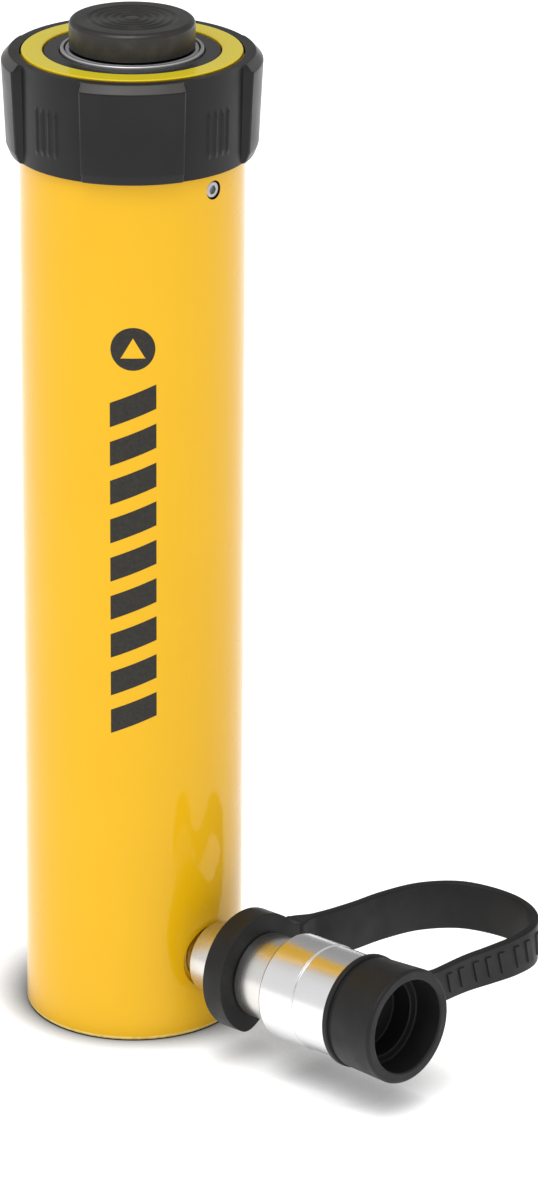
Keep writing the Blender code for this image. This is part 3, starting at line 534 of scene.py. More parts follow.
class Finish:
    """A material built node by node round one Principled shader."""

    def __init__(self, name, colour, roughness, metallic=0.0, **sockets):
        self.material = bpy.data.materials.new(name)
        self.material.use_nodes = True
        self.tree = self.material.node_tree
        self.shader = self.tree.nodes["Principled BSDF"]
        sockets |= {"Base Color": (*colour, 1.0), "Roughness": roughness, "Metallic": metallic}
        for socket, value in sockets.items():
            self.shader.inputs[socket.replace("_", " ")].default_value = value
        self.place = self.tree.nodes.new("ShaderNodeTexCoord").outputs["Object"]
        self.colour = colour
        self.bumped = None

    def node(self, kind, *inputs, **settings):
        """A node in this material."""
        return new_node(self.tree, kind, *inputs, **settings)

    def math(self, operation, *inputs):
        """The result of a math node."""
        return self.node("ShaderNodeMath", *inputs, operation=operation).outputs[0]

    def noise(self, scale, detail=3.0, place=None):
        """Noise with this many features to the metre."""
        return self.node("ShaderNodeTexNoise", place or self.place, None, scale, detail).outputs["Fac"]

    def ranged(self, value, low, high, out_low, out_high):
        """The value's low to high taken to another range, held at its ends."""
        return self.node("ShaderNodeMapRange", value, low, high, out_low, out_high).outputs[0]

    def patches(self, scale, low=0.3, high=0.7, detail=3.0):
        """A share from 0 to 1 in soft patches, this many to the metre."""
        return self.ranged(self.noise(scale, detail), low, high, 0.0, 1.0)

    def uneven_roughness(self, scale, low, high):
        """Roughness between two values in soft patches."""
        self.link(self.ranged(self.noise(scale), 0.3, 0.7, low, high), "Roughness")

    def mix(self, share, first, second):
        """A colour between two, by a node's result. Each is a plain colour or a node's result too."""
        linked = bpy.types.NodeSocket
        colours = [item if isinstance(item, linked) else (*item, 1.0) for item in (first, second)]
        not_colours = [None] * 5
        return self.node("ShaderNodeMix", share, *not_colours, *colours, data_type="RGBA").outputs[2]

    def tinted(self, share, other):
        """The base colour turned to another by a node's result."""
        self.link(self.mix(share, self.colour, other), "Base Color")

    def rings(self, scale):
        """Coordinates in which noise makes turning marks: rings on a side and on an end face."""
        x, y, z = self.node("ShaderNodeSeparateXYZ", self.place).outputs
        squares = [self.math("POWER", part, 2.0) for part in (x, y)]
        radius = self.math("SQRT", self.math("ADD", *squares))
        outward = self.math("MULTIPLY", radius, scale)
        upward = self.math("MULTIPLY", z, scale)
        return self.node("ShaderNodeCombineXYZ", outward, 0.0, upward).outputs[0]

    def link(self, value, socket):
        """Links a node's result to one of the shader's sockets."""
        self.tree.links.new(value, self.shader.inputs[socket])

    def bump(self, height, strength, distance=0.0001):
        """Adds a bump, over any that there is already."""
        made = self.node("ShaderNodeBump", strength, distance, None, height, self.bumped)
        self.bumped = made.outputs[0]
        self.link(self.bumped, "Normal")


def yellow_paint():
    """Glossy yellow enamel with a faint orange peel, a brighter rim, and a painted highlight in pale patches round
    the foot.
    """
    coat = {"Coat_Weight": 0.9, "Coat_IOR": 1.32, "Coat_Roughness": 0.05}
    finish = Finish("yellow_enamel", YELLOW, 0.32, IOR=1.32, Specular_IOR_Level=0.15, **coat)
    mottle = finish.patches(18.0, 0.35, 0.65)
    colour = finish.mix(mottle, YELLOW, (0.79, 0.437, 0.004))
    height = finish.node("ShaderNodeSeparateXYZ", finish.place).outputs[2]
    rim = finish.ranged(height, *(level * MM for level in PAINT_RIM_Z), 0.0, 1.0)
    colour = finish.mix(rim, colour, (0.76, 0.61, 0.012))
    # Painted highlight: the foot's edge is painted pale in patches, as if lit.
    highlight_patches = finish.ranged(finish.noise(420.0, 4.0), 0.40, 0.55, 0.5, 1.0)
    foot_highlight = finish.ranged(height, *(level * MM for level in FOOT_HIGHLIGHT_Z), 1.0, 0.0)
    wear_and_foot_highlight = finish.math("MULTIPLY", foot_highlight, highlight_patches)
    finish.link(finish.mix(wear_and_foot_highlight, colour, (0.95, 0.74, 0.24)), "Base Color")
    finish.uneven_roughness(60.0, 0.26, 0.36)
    finish.bump(finish.noise(700.0, 0.0), 0.03)
    return finish.material


def black_plastic():
    """Moulded black plastic with a fine spark-eroded grain, and a painted grey highlight on its sloping bevels."""
    finish = Finish("black_moulding", (0.009, 0.009, 0.010), 0.34, Specular_IOR_Level=0.22)
    wear_and_foot_highlight = finish.patches(35.0, 0.35, 0.7)
    colour = finish.mix(wear_and_foot_highlight, finish.colour, (0.014, 0.014, 0.015))
    # Painted highlight: faces that slope between upright and level are painted greyer.
    normal = finish.node("ShaderNodeNewGeometry").outputs["Normal"]
    tilt = finish.node("ShaderNodeSeparateXYZ", normal).outputs[2]
    not_upright = finish.ranged(tilt, 0.42, 0.6, 0.0, 1.0)
    not_level = finish.ranged(tilt, 0.80, 0.97, 1.0, 0.0)
    rub_and_bevel_highlight = finish.math("MULTIPLY", not_upright, not_level)
    finish.link(finish.mix(rub_and_bevel_highlight, colour, (0.062, 0.060, 0.057)), "Base Color")
    finish.uneven_roughness(90.0, 0.29, 0.38)
    finish.bump(finish.noise(2600.0, 2.0), 0.25, 0.00008)
    return finish.material


def black_rubber():
    """Moulded black rubber, satin where the mould was polished and a little dusty."""
    finish = Finish("black_rubber_moulding", (0.009, 0.009, 0.009), 0.50, Specular_IOR_Level=0.26)
    bloom = finish.patches(55.0, 0.4, 0.75, 4.0)
    finish.tinted(bloom, (0.016, 0.016, 0.017))
    finish.uneven_roughness(140.0, 0.42, 0.58)
    finish.bump(finish.noise(1500.0, 2.0), 0.18, 0.00008)
    return finish.material


def turned_metal(name, colour, roughness, marks=0.12, spread=0.08, metallic=1.0, tint=0.85):
    """Metal with turning marks, darker in places. spread is how far the marks change the roughness."""
    finish = Finish(name, colour, roughness, metallic)
    ringed = finish.rings(2800.0)
    shade = finish.patches(45.0, detail=4.0)
    finish.tinted(shade, [value * tint for value in colour])
    marked = finish.noise(1.0, 3.0, ringed)
    low, high = roughness - spread / 2, roughness + spread / 2
    finish.link(finish.ranged(marked, 0.3, 0.7, low, high), "Roughness")
    finish.bump(marked, marks, 0.00003)
    return finish.material


def black_oxide():
    """Hardened steel with a black oxide skin, rubbed brighter on its high places."""
    finish = Finish("black_oxide_steel", (0.052, 0.050, 0.048), 0.34, 0.85)
    ringed = finish.rings(1800.0)
    rub_and_bevel_highlight = finish.patches(160.0, 0.45, 0.75, 5.0)
    finish.tinted(rub_and_bevel_highlight, (0.078, 0.074, 0.070))
    finish.uneven_roughness(70.0, 0.30, 0.42)
    finish.bump(finish.noise(1.0, 3.0, ringed), 0.15, 0.00004)
    finish.bump(finish.noise(1400.0, 2.0), 0.08, 0.00005)
    return finish.material


def plain_moulding(name, colour, roughness):
    """A seal or a plastic ring, with a faint mottle and grain."""
    finish = Finish(name, colour, roughness)
    shade = finish.patches(120.0)
    finish.tinted(shade, [value * 0.8 for value in colour])
    finish.bump(finish.noise(1800.0, 2.0), 0.12, 0.00005)
    return finish.material


def printed_ink():
    """Black printing ink, slightly matt against the enamel."""
    finish = Finish("black_ink", (0.013, 0.012, 0.010), 0.38, Specular_IOR_Level=0.3)
    thin = finish.patches(900.0, 0.35, 0.75)
    finish.tinted(thin, (0.026, 0.022, 0.014))
    finish.bump(finish.noise(700.0, 2.0), 0.05)
    return finish.material


def studio_floor():
    """White paper that glows, but not where something stands close over it or in front of it."""
    finish = Finish("white_paper", (FLOOR_WHITE,) * 3, 0.9)
    clear = 1.0
    for way, reach, low, high in CONTACTS:
        facing = finish.node("ShaderNodeCombineXYZ", *way)
        opening = finish.node("ShaderNodeAmbientOcclusion", None, reach, facing.outputs[0], samples=16)
        clear = finish.math("MULTIPLY", finish.ranged(opening.outputs["AO"], low, high, 0.0, 1.0), clear)
    finish.link(finish.mix(clear, FLOOR_SHADE, (FLOOR_WHITE,) * 3), "Base Color")
    finish.shader.inputs["Emission Color"].default_value = (1.0, 1.0, 1.0, 1.0)
    finish.link(clear, "Emission Strength")
    finish.bump(finish.noise(500.0, 3.0), 0.02)
    return finish.material


def make_finishes():
    """The finish of each of the record's material slots, and the ink."""
    return {
        "yellow_paint": yellow_paint(),
        "black_plastic": black_plastic(),
        "black_rubber": black_rubber(),
        "black_oxide": black_oxide(),
        "dark_steel": turned_metal("blackened_steel", (0.044, 0.044, 0.045), 0.36, 0.18, metallic=0.7),
        "bronze": turned_metal("bearing_bronze", (0.42, 0.25, 0.10), 0.36),
        "bright_steel": turned_metal("bright_turned_steel", (0.60, 0.60, 0.61), 0.38, 0.05),
        "hard_chrome": turned_metal("ground_chrome", (0.46, 0.47, 0.49), 0.15, 0.05, 0.04, tint=0.90),
        "plain_steel": turned_metal("machined_steel", (0.42, 0.42, 0.43), 0.34),
        "spring_steel": turned_metal("tempered_wire", (0.22, 0.22, 0.23), 0.38),
        "nickel_plate": turned_metal("satin_nickel", (0.74, 0.73, 0.70), 0.28, 0.008, 0.02, tint=0.94),
        "bright_plate": turned_metal("bright_zinc", (0.82, 0.82, 0.83), 0.24, 0.03, 0.06, tint=0.93),
        "seal_rubber": plain_moulding("nitrile_seal", (0.020, 0.020, 0.020), 0.55),
        "backup_plastic": plain_moulding("white_ptfe", (0.75, 0.75, 0.72), 0.45),
        "ink": printed_ink(),
    }


# The cylinder


def rod(radius, low, high):
    """The outline of a plain rod."""
    return [(0, high), (radius, high), (radius, low), (0, low)]


def make_barrel_tools(finishes):
    """The shapes of the barrel's holes: a painted port, and passage, screw and bolt holes whose bare walls take
    the dark blackened steel, partly a painted shade.
    """
    recess = rod(PORT_RECESS_R, -PORT_RECESS_DEPTH, PORT_CLEARANCE)
    port_hole = [*recess[:3], *rod(PORT_HOLE_R, -PORT_HOLE_DEPTH, -PORT_RECESS_DEPTH)[1:]]
    tools = [new_piece("port_tool", revolved(port_hole, SMALL_STEPS), finishes["yellow_paint"], COUPLER)]
    bolt_hole = rod(BASE_BOLT_R, -1, BASE_BOLT_DEPTH)
    # The walls these holes cut take the dark blackened steel, which paints shade into them.
    bare_holes_painted_dark = {
        "passage_tool": (rod(PASSAGE_R, -PASSAGE_DEPTH, 0), COUPLER),
        "screw_tool": (rod(LOCK_SCREW_HOLE_R, GLAND_SEAT_R - 1, BARREL_R + 1), LOCK_SCREW_PLACE),
        "bolt_tool_-1": (bolt_hole, Matrix.Translation((0.0, -BASE_BOLT_CIRCLE_R * MM, 0.0))),
        "bolt_tool_1": (bolt_hole, Matrix.Translation((0.0, BASE_BOLT_CIRCLE_R * MM, 0.0))),
    }
    for name, (outline, place) in bare_holes_painted_dark.items():
        tools.append(new_piece(name, revolved(outline, TOOL_STEPS), finishes["dark_steel"], place))
    return tools


def make_barrel(finishes):
    """The barrel with its integral base, its collar thread, and its port, screw and bolt holes."""
    thread_top = RIM_Z - 1.0
    thread_rows = round((thread_top - THREAD_LOW_Z) / THREAD_PITCH * THREAD_STEPS)
    step = (thread_top - THREAD_LOW_Z) / thread_rows
    upper = [
        (BORE_R, FLOOR_Z, 1.0),
        (BORE_R, GLAND_SEAT_Z, 0.3),
        (GLAND_SEAT_R, GLAND_SEAT_Z, 0.3),
        (GLAND_SEAT_R, RIM_Z, 0.4),
        (RIM_R, RIM_Z, 0.5),
        (THREAD_R, thread_top),
    ]
    threaded = [Vector((THREAD_R, thread_top - step * i)) for i in range(1, thread_rows + 1)]
    lower = [
        (THREAD_R, THREAD_LOW_Z),
        (BARREL_R, THREAD_LOW_Z - 0.6, 0.3),
        (BARREL_R, 0.0, FOOT_FILLET),
        (0.0, 0.0),
    ]
    outline = [Vector((0.0, FLOOR_Z)), *rounded(upper), *threaded, *rounded(lower)[1:]]

    def threaded_side(radius, height, turn):
        if abs(radius - THREAD_R) > SLIVER or height < THREAD_LOW_Z:
            return radius, height
        return radius - thread(height, turn, THREAD_DEPTH, THREAD_LOW_Z, RIM_Z), height

    barrel = new_piece("barrel", revolved(outline, STEPS, threaded_side), finishes["yellow_paint"])
    stand_for(shaded(combined(barrel, make_barrel_tools(finishes))), "cylinder_body")


def make_lock_screw(finishes):
    """The socket set screw under the collar, with its six-sided socket."""
    inner, outer = ends_of("stop_ring_lock_screw", 0)
    corners = [
        (0.0, outer - 1.3),
        (LOCK_SCREW_KEY, outer - 1.1),
        (LOCK_SCREW_KEY, outer, 0.15),
        (LOCK_SCREW_R, outer, 0.5),
        (LOCK_SCREW_R, inner, 0.5),
        (0.0, inner),
    ]

    def six_sided(radius, height, turn):
        in_socket = 0 < radius <= LOCK_SCREW_KEY + 0.2 and height > inner + 1
        from_flat = (turn + math.pi / 6) % (math.pi / 3) - math.pi / 6
        return (radius / math.cos(from_flat) if in_socket else radius), height

    builder = revolved(rounded(corners), SMALL_STEPS, six_sided)
    screw = new_piece("socket_set_screw", builder, finishes["plain_steel"], LOCK_SCREW_PLACE)
    stand_for(shaded(screw), "stop_ring_lock_screw")


def make_gland(finishes):
    """The ring screwed into the barrel's mouth, and the bright wiper round the plunger."""
    low, top = ends_of("stop_ring", 2)
    bearing_top = low + BEARING_SEAT_DEPTH
    ring = [
        (WIPER_R + 0.3, top, 0.3),
        (GLAND_SEAT_R - 0.3, top, 0.5),
        (GLAND_SEAT_R - 0.3, low, 0.3),
        (BEARING_SEAT_R, low, 0.2),
        (BEARING_SEAT_R, bearing_top, 0.2),
        (GLAND_BORE_R, bearing_top, 0.2),
        (GLAND_BORE_R, WIPER_SEAT_Z, 0.2),
        (WIPER_R + 0.3, WIPER_SEAT_Z, 0.2),
    ]
    turned("gland_ring", ring, finishes["dark_steel"], "stop_ring")
    low, top = ends_of("wiper_ring", 2)
    lip = [
        (GLAND_BORE_R, top, 0.15),
        (WIPER_R, top, 0.5),
        (WIPER_R, low, 0.2),
        (GLAND_BORE_R, low, 0.2),
    ]
    turned("wiper", lip, finishes["bright_steel"], "wiper_ring")


def make_plunger(finishes):
    """The hollow chromed plunger, with the grooves for its wear ring, its seal and its plug's ring."""
    low = ends_of("plunger", 2)[0]
    hole_floor = PLUNGER_TOP_Z - SADDLE_HOLE_DEPTH
    head_top = GLAND_SEAT_Z - STROKE
    corners = [
        (0.0, hole_floor),
        (SADDLE_HOLE_R, hole_floor, 0.4),
        (SADDLE_HOLE_R, PLUNGER_TOP_Z, 0.5),
        (ROD_R, PLUNGER_TOP_Z, 0.8),
        (ROD_R, head_top, 0.4),
        (HEAD_R, head_top, 0.5),
        *groove(HEAD_R, *WEAR_RING_GROOVE),
        *groove(HEAD_R, *SEAL_GROOVE),
        (HEAD_R, 31.0, 0.5),
        (HEAD_FOOT_R, 29.4, 0.5),
        (HEAD_FOOT_R, low, 0.5),
        (PLUNGER_BORE_R, low, 0.5),
        *groove(PLUNGER_BORE_R, *PLUG_RING_GROOVE),
        (PLUNGER_BORE_R, PLUNGER_BORE_TOP_Z, 0.5),
        (0.0, PLUNGER_BORE_TOP_Z),
    ]
    turned("chromed_plunger", corners, finishes["hard_chrome"], "plunger")


def make_saddle(finishes):
    """The saddle with its turned grooves, and the ring round its stem."""
    flat = [Vector((0.0, SADDLE_TOP_Z))]
    start = SADDLE_GROOVE_PITCH * 0.7
    for i in range(SADDLE_GROOVES * SADDLE_GROOVE_STEPS + 1):
        turns = i / SADDLE_GROOVE_STEPS
        depth = SADDLE_GROOVE_DEPTH * (1 - math.cos(2 * math.pi * turns)) / 2
        flat.append(Vector((start + SADDLE_GROOVE_PITCH * turns, SADDLE_TOP_Z - depth)))
    low = ends_of("saddle", 2)[0]
    under = PLUNGER_TOP_Z + 0.3
    corners = [
        (start + SADDLE_GROOVE_PITCH * SADDLE_GROOVES, SADDLE_TOP_Z),
        (SADDLE_R, SADDLE_TOP_Z, 1.8),
        (SADDLE_R, under, 0.4),
        (SADDLE_STEM_R, under, 0.3),
        *groove(SADDLE_STEM_R, *SADDLE_RING_GROOVE),
        (SADDLE_STEM_R, low, 1.0),
        (0.0, low),
    ]
    outline = [*flat, *rounded(corners, arc_points=9)[1:]]
    saddle = new_piece("grooved_saddle", revolved(outline, FINE_STEPS), finishes["black_oxide"])
    stand_for(shaded(saddle), "saddle")
    ring = wire_ring(*SADDLE_RING)
    turned("saddle_snap_ring", ring, finishes["seal_rubber"], "saddle_retaining_ring", steps=SMALL_STEPS)


def guard_side(radius, height, turn):
    """Where a point of the collar's side goes: out on a pad, or down in a recess with its grip ribs."""
    pad = 360.0 / GUARD_PADS
    offset = (math.degrees(turn) + pad / 2) % pad - pad / 2
    floor = GUARD_RECESS_R - GUARD_RECESS_TAPER * (GUARD_TOP_Z - height) / (GUARD_TOP_Z - GUARD_LOW_Z)
    if radius <= floor:
        return radius
    recess_end, pad_start = GUARD_RECESS_HALF - GUARD_STEP_HALF, GUARD_RECESS_HALF + GUARD_STEP_HALF
    edge = smooth_step(recess_end, pad_start, abs(offset))
    first_rib = -GUARD_RIB_SPACING * (GUARD_RIBS - 1) / 2
    nearest = min(abs(offset - first_rib - GUARD_RIB_SPACING * i) for i in range(GUARD_RIBS))
    low, high = GUARD_RIB_Z
    rib = smooth_step(GUARD_RIB_HALF, GUARD_RIB_HALF * 0.4, nearest)
    rib *= smooth_step(low, low + GUARD_RIB_FADE, height) * smooth_step(high, high - GUARD_RIB_FADE, height)
    return floor + (radius - floor) * edge + GUARD_RIB_HEIGHT * rib * (1 - edge)


def make_thread_protector(finishes):
    """The black collar: a threaded ring with four pads, and grip ribs in the recesses between them."""
    lip = GUARD_TOP_Z - GUARD_LIP_HEIGHT
    corners = [
        (GUARD_BORE_R, GUARD_LOW_Z, 0.3),
        (GUARD_BORE_R, lip),
        (GUARD_LIP_R, lip),
        (GUARD_LIP_R, GUARD_TOP_Z, 0.25),
        (37.9, GUARD_TOP_Z, 0.7),
        (40.2, GUARD_TOP_Z - 2.6, 0.9),
        (38.9, GUARD_LOW_Z + 3.1, 2.0),
        (37.7, GUARD_LOW_Z, 0.8),
    ]
    around = rounded(corners)
    outline = split_long([*around, around[0]], GUARD_ROW)[:-1]

    def bore_and_side(radius, height, turn):
        if radius >= GUARD_BORE_R + SLIVER:
            return guard_side(radius, height, turn), height
        if height >= lip - 0.4:
            return radius, height
        return radius - thread(height, turn, GUARD_THREAD_DEPTH, GUARD_LOW_Z, lip), height

    builder = revolved(outline, GUARD_STEPS, bore_and_side)
    guard = new_piece("collar_guard", builder, finishes["black_plastic"])
    stand_for(shaded(guard), "thread_protector")


def make_return_spring(finishes):
    """The spring inside the plunger."""
    low, high = ends_of("return_spring", 2)
    builder = coil(*RETURN_COIL, low, high)
    spring = shaded(new_piece("pull_back_spring", builder, finishes["spring_steel"]))
    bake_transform(spring)
    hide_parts("return_spring")


# The coupler


def make_nipple(finishes):
    """The nipple from the barrel's port into the coupler, with its round land."""
    corners = [
        (PASSAGE_R, 22.0, 0.3),
        (7.0, 22.0, 0.5),
        (7.0, NIPPLE_FRONT, 0.2),
        (NIPPLE_R, NIPPLE_FRONT, 0.6),
        (NIPPLE_R, NIPPLE_BACK, 0.6),
        (8.2, NIPPLE_BACK, 0.2),
        (8.2, -7.0, 0.5),
        (PASSAGE_R, -7.0, 0.3),
    ]
    turned("hose_nipple", corners, finishes["nickel_plate"], "port_nipple", COUPLER)


def make_coupler_body(finishes):
    """The coupler's body, with its mouth and chamber, and the seal in the mouth."""
    corners = [
        (MOUTH_R, COUPLER_FRONT, 0.4),
        (NECK_R, COUPLER_FRONT, 0.4),
        *groove(NECK_R, *SLEEVE_RING_GROOVE),
        (NECK_R, 36.3, 0.3),
        (13.7, 36.3, 0.6),
        (13.7, 23.3, 0.3),
        (12.7, 23.3, 0.1),
        (12.7, 12.8, 0.5),
        (7.3, 12.8, 0.2),
        (7.3, 22.5, 0.2),
        (6.4, 22.5, 0.2),
        (6.4, 46.0, 0.3),
        (4.2, 48.5, 0.3),
        (4.2, 51.0, 0.2),
        (MOUTH_R, 51.0, 0.3),
        *groove(MOUTH_R, *MOUTH_SEAL_GROOVE),
    ]
    turned("coupler_barrel", corners, finishes["nickel_plate"], "coupler_body", COUPLER)
    seal = wire_ring(*MOUTH_SEAL)
    turned("mouth_seal", seal, finishes["seal_rubber"], "coupler_mouth_seal", COUPLER, SMALL_STEPS)


def make_sleeve(finishes):
    """The bright sleeve that turns on the coupler, with the fine line round it."""
    corners = [
        (13.1, SLEEVE_FRONT, 0.6),
        (SLEEVE_FRONT_R, SLEEVE_FRONT, 0.6),
        (SLEEVE_FRONT_R, SLEEVE_LINE + 0.6, 0.2),
        (SLEEVE_FRONT_R - 0.35, SLEEVE_LINE + 0.3, 0.1),
        (SLEEVE_R, SLEEVE_LINE, 0.25),
        (SLEEVE_R, SLEEVE_BACK, 0.9),
        (10.1, SLEEVE_BACK, 0.3),
        (10.1, 42.9, 0.2),
        (11.6, 42.9, 0.2),
        (11.6, 45.6, 0.2),
        (13.1, 47.0, 0.2),
    ]
    turned("turning_sleeve", corners, finishes["bright_plate"], "coupler_sleeve", COUPLER)


def make_valve(finishes):
    """The poppet in the coupler's mouth and its spring."""
    corners = [
        (0.0, 54.0),
        (3.6, 54.0, 0.8),
        (3.6, 47.6, 0.3),
        (5.6, 45.6, 0.2),
        (5.6, 44.4, 0.2),
        (2.4, 44.4, 0.2),
        (2.4, 27.0, 0.4),
        (0.0, 27.0),
    ]
    turned("valve_poppet", corners, finishes["plain_steel"], "coupler_poppet", COUPLER, SMALL_STEPS)
    back, front = VALVE_SPRING_STATIONS
    builder = coil(*VALVE_COIL, back, front)
    spring = shaded(new_piece("valve_spring", builder, finishes["spring_steel"], COUPLER))
    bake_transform(spring)
    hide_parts("poppet_spring")


def tapered_tip(points):
    """The clip's outer edge at its tip, from the point to where the clip is whole."""
    edge = []
    for along in spread(0.0, 1.0, points):
        share = smooth_step(0.0, 1.0, along) ** 0.7
        edge.append(across(CLIP_TIP_R + (CLIP_R - CLIP_TIP_R) * share, CLIP_TIP - CLIP_TAPER * along))
    return edge


def crowned(start, end, points):
    """The clip's outer edge over its top, a little fuller at the crown."""
    edge = []
    for angle in spread(start, end, points):
        rise, fall = (smooth_step(end + low, end + high, angle) for low, high in CLIP_CROWN_SPANS)
        edge.append(across(CLIP_R + CLIP_CROWN * rise * fall, angle))
    return edge


def make_clip(finishes):
    """The tether clip: a springy open ring with flared tips, necking into the strap."""
    low, high = CLIP_NECK
    neck = neck_fillet(CLIP_R, high, CLIP_NECK_FILLET)
    neck_start = angle_of(neck[0]) - 360.0
    neck_end = math.degrees(math.asin(low / CLIP_R)) - 360.0
    heel = CLIP_HEEL - 360.0
    outline = [
        *tapered_tip(12),
        *crowned(CLIP_TIP - CLIP_TAPER, neck_start, 52)[1:-1],
        *neck,
        (-high, LUG_END),
        (-low, LUG_END),
        *swept(CLIP_R, neck_end, heel, 8),
        across(CLIP_HEEL_R, heel),
        *swept(CLIP_BORE_R, heel + CLIP_FLARE, CLIP_TIP - CLIP_FLARE, 56),
    ]
    clip = new_piece("strap_clip", prism(outline, *CLIP_STATIONS), finishes["black_rubber"], COUPLER)
    stand_for(shaded(bevelled(clip, 1.2, 5)), "tether_clip")


def make_cap(finishes):
    """The dust cap: a plug, a lip and a groove, and a cup for the hose's cap, with a lug for the strap."""
    corners = [
        (0.0, 68.0),
        (12.2, 68.0, 0.6),
        (12.2, 75.2, 0.5),
        (15.0, 75.2, 0.6),
        (15.0, CAP_FRONT, 0.7),
        (18.6, CAP_FRONT, 1.1),
        (CAP_R, 69.0, 0.5),
        (17.2, 68.5, 0.25),
        (17.2, 67.7, 0.25),
        (18.3, 67.4, 0.5),
        (18.3, CAP_BACK, 0.6),
        (12.7, CAP_BACK, 0.3),
        (12.7, 60.9, 1.0),
        (0.0, 60.9),
    ]
    builder = revolved(rounded(corners, arc_points=7), FINE_STEPS)
    cap = new_piece("rubber_cap", builder, finishes["black_rubber"], COUPLER)
    lower, upper = (neck_fillet(CAP_R, CAP_LUG_HALF, fillet) for fillet in CAP_LUG_FILLETS)
    start, end = (angle_of(neck[0]) for neck in (lower, upper))
    lug_outline = [
        *upper,
        (-CAP_LUG_HALF, LUG_END),
        (CAP_LUG_HALF, LUG_END),
        *((-x, y) for x, y in reversed(lower)),
        *swept(CAP_R - 1.5, -start, end, 15),
    ]
    lug = new_piece("cap_lug", prism(lug_outline, *CAP_LUG_STATIONS), finishes["black_rubber"], COUPLER)
    bevelled(lug, 0.5)
    stand_for(shaded(combined(cap, [lug], "UNION")), "dust_cap")


def smooth_route(points, steps):
    """A Catmull-Rom curve through points in a plane, which sets out and comes back along Y."""
    before = Vector((points[1][0], 2 * points[0][1] - points[1][1]))
    after = Vector((points[-2][0], 2 * points[-1][1] - points[-2][1]))
    knots = [before, *map(Vector, points), after]
    route = []
    for a, b, c, d in zip(knots, knots[1:], knots[2:], knots[3:]):
        for i in range(steps):
            t = i / steps
            along = b * 2 + (c - a) * t + (a * 2 - b * 5 + c * 4 - d) * t**2 + (b * 3 - a - c * 3 + d) * t**3
            route.append(along / 2)
    route.append(knots[-2])
    return route


class StrapRoute:
    """The strap's middle line seen from above, and how far each of its points is along it."""

    def __init__(self):
        self.points = smooth_route(STRAP_ROUTE, STRAP_STEPS)
        self.last = len(self.points) - 1
        self.lengths = [0.0]
        for a, b in zip(self.points, self.points[1:]):
            self.lengths.append(self.lengths[-1] + (b - a).length)
        self.whole = self.lengths[-1]

    def side(self, i):
        """The level direction the strap's outer face looks in at a point."""
        ahead = (self.points[min(i + 1, self.last)] - self.points[max(i - 1, 0)]).normalized()
        if i in (0, self.last):
            ahead = Vector((0.0, 1.0 if i == 0 else -1.0))
        return Vector((-ahead.y, ahead.x, 0.0))

    def middle_and_height(self, i):
        """The middle of the strap's section at a point, and how tall the section is."""
        share = smooth_step(STRAP_TAPER_START, 1.0, i / self.last)
        z = STRAP_MIDDLES_Z[0] + (STRAP_MIDDLES_Z[1] - STRAP_MIDDLES_Z[0]) * share
        height = STRAP_HEIGHTS[0] + (STRAP_HEIGHTS[1] - STRAP_HEIGHTS[0]) * share
        return Vector((*self.points[i], z)), height

    def nearest(self, length):
        """The point nearest to this far along the strap."""
        return min(range(self.last + 1), key=lambda i: abs(self.lengths[i] - length))


def strap_section(route, i):
    """The strap's section at a point: thick and in line with the coupler at the ends, and tucked in there."""
    middle, height = route.middle_and_height(i)
    to_cap = route.whole - route.lengths[i]
    near_clip = 1 - smooth_step(0.0, STRAP_ROOT_LENGTHS[0], route.lengths[i])
    near_cap = 1 - smooth_step(0.0, STRAP_ROOT_LENGTHS[1], to_cap)
    thick = STRAP_THICKNESS
    thick += (STRAP_ROOTS[0] - thick) * near_clip + (STRAP_ROOTS[1] - thick) * near_cap
    tuck = STRAP_TUCK * (1 - smooth_step(0.0, STRAP_TUCK_LENGTH, min(route.lengths[i], to_cap))) / 2
    half, low, high = thick / 2 - tuck, tuck - height / 2, height / 2 - tuck
    if i > route.last / 2:
        high += over_level(route.points[i].y, CAP_R, CAP_LUG_HALF, CAP_LUG_FILLETS[1])
    corners = ((half, high), (-half, high), (-half, low), (half, low))
    up = Vector((0.0, 0.0, 1.0)).lerp(COUPLER_UP, max(near_clip, near_cap)).normalized()
    side = route.side(i)
    side = (side - up * side.dot(up)).normalized()
    outline = rounded([(*corner, STRAP_FILLET) for corner in corners])
    return [(middle + side * x + up * y) * MM for x, y in outline]


def strap_rib(route, i):
    """The lower and upper outline of a slanted grip rib on the strap's outer face."""
    middle, height = route.middle_and_height(i)
    side = route.side(i)
    along = Vector((side.y, -side.x, 0.0))
    face = STRAP_THICKNESS / 2
    rings = []
    for level, inset in ((face - 0.3, 0.0), (face + STRAP_RIB_HEIGHT, 0.3)):
        half = STRAP_RIB_HALF - inset
        tall = height * STRAP_RIB_SHARE - inset
        corners = ((half, tall, 0.4), (-half, tall, 0.4), (-half, -tall, 0.4), (half, -tall, 0.4))
        outer = middle + side * level
        ring = []
        for x, y in rounded(corners, 3):
            ring.append((outer + along * (x + y * STRAP_RIB_SLANT) + Vector((0.0, 0.0, y))) * MM)
        rings.append(ring)
    return rings


def make_strap(finishes):
    """The flat strap between clip and cap: thick at its roots, with grip ribs on its outer run."""
    route = StrapRoute()
    builder = bmesh.new()
    lofted(builder, [strap_section(route, i) for i in range(route.last + 1)])
    for from_cap in spread(*STRAP_RIB_SPAN, STRAP_RIBS):
        lofted(builder, strap_rib(route, route.nearest(route.whole - from_cap)))
    strap = shaded(new_piece("cap_strap", builder, finishes["black_rubber"]))
    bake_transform(strap)
    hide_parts("tether_strap")


# The printed mark


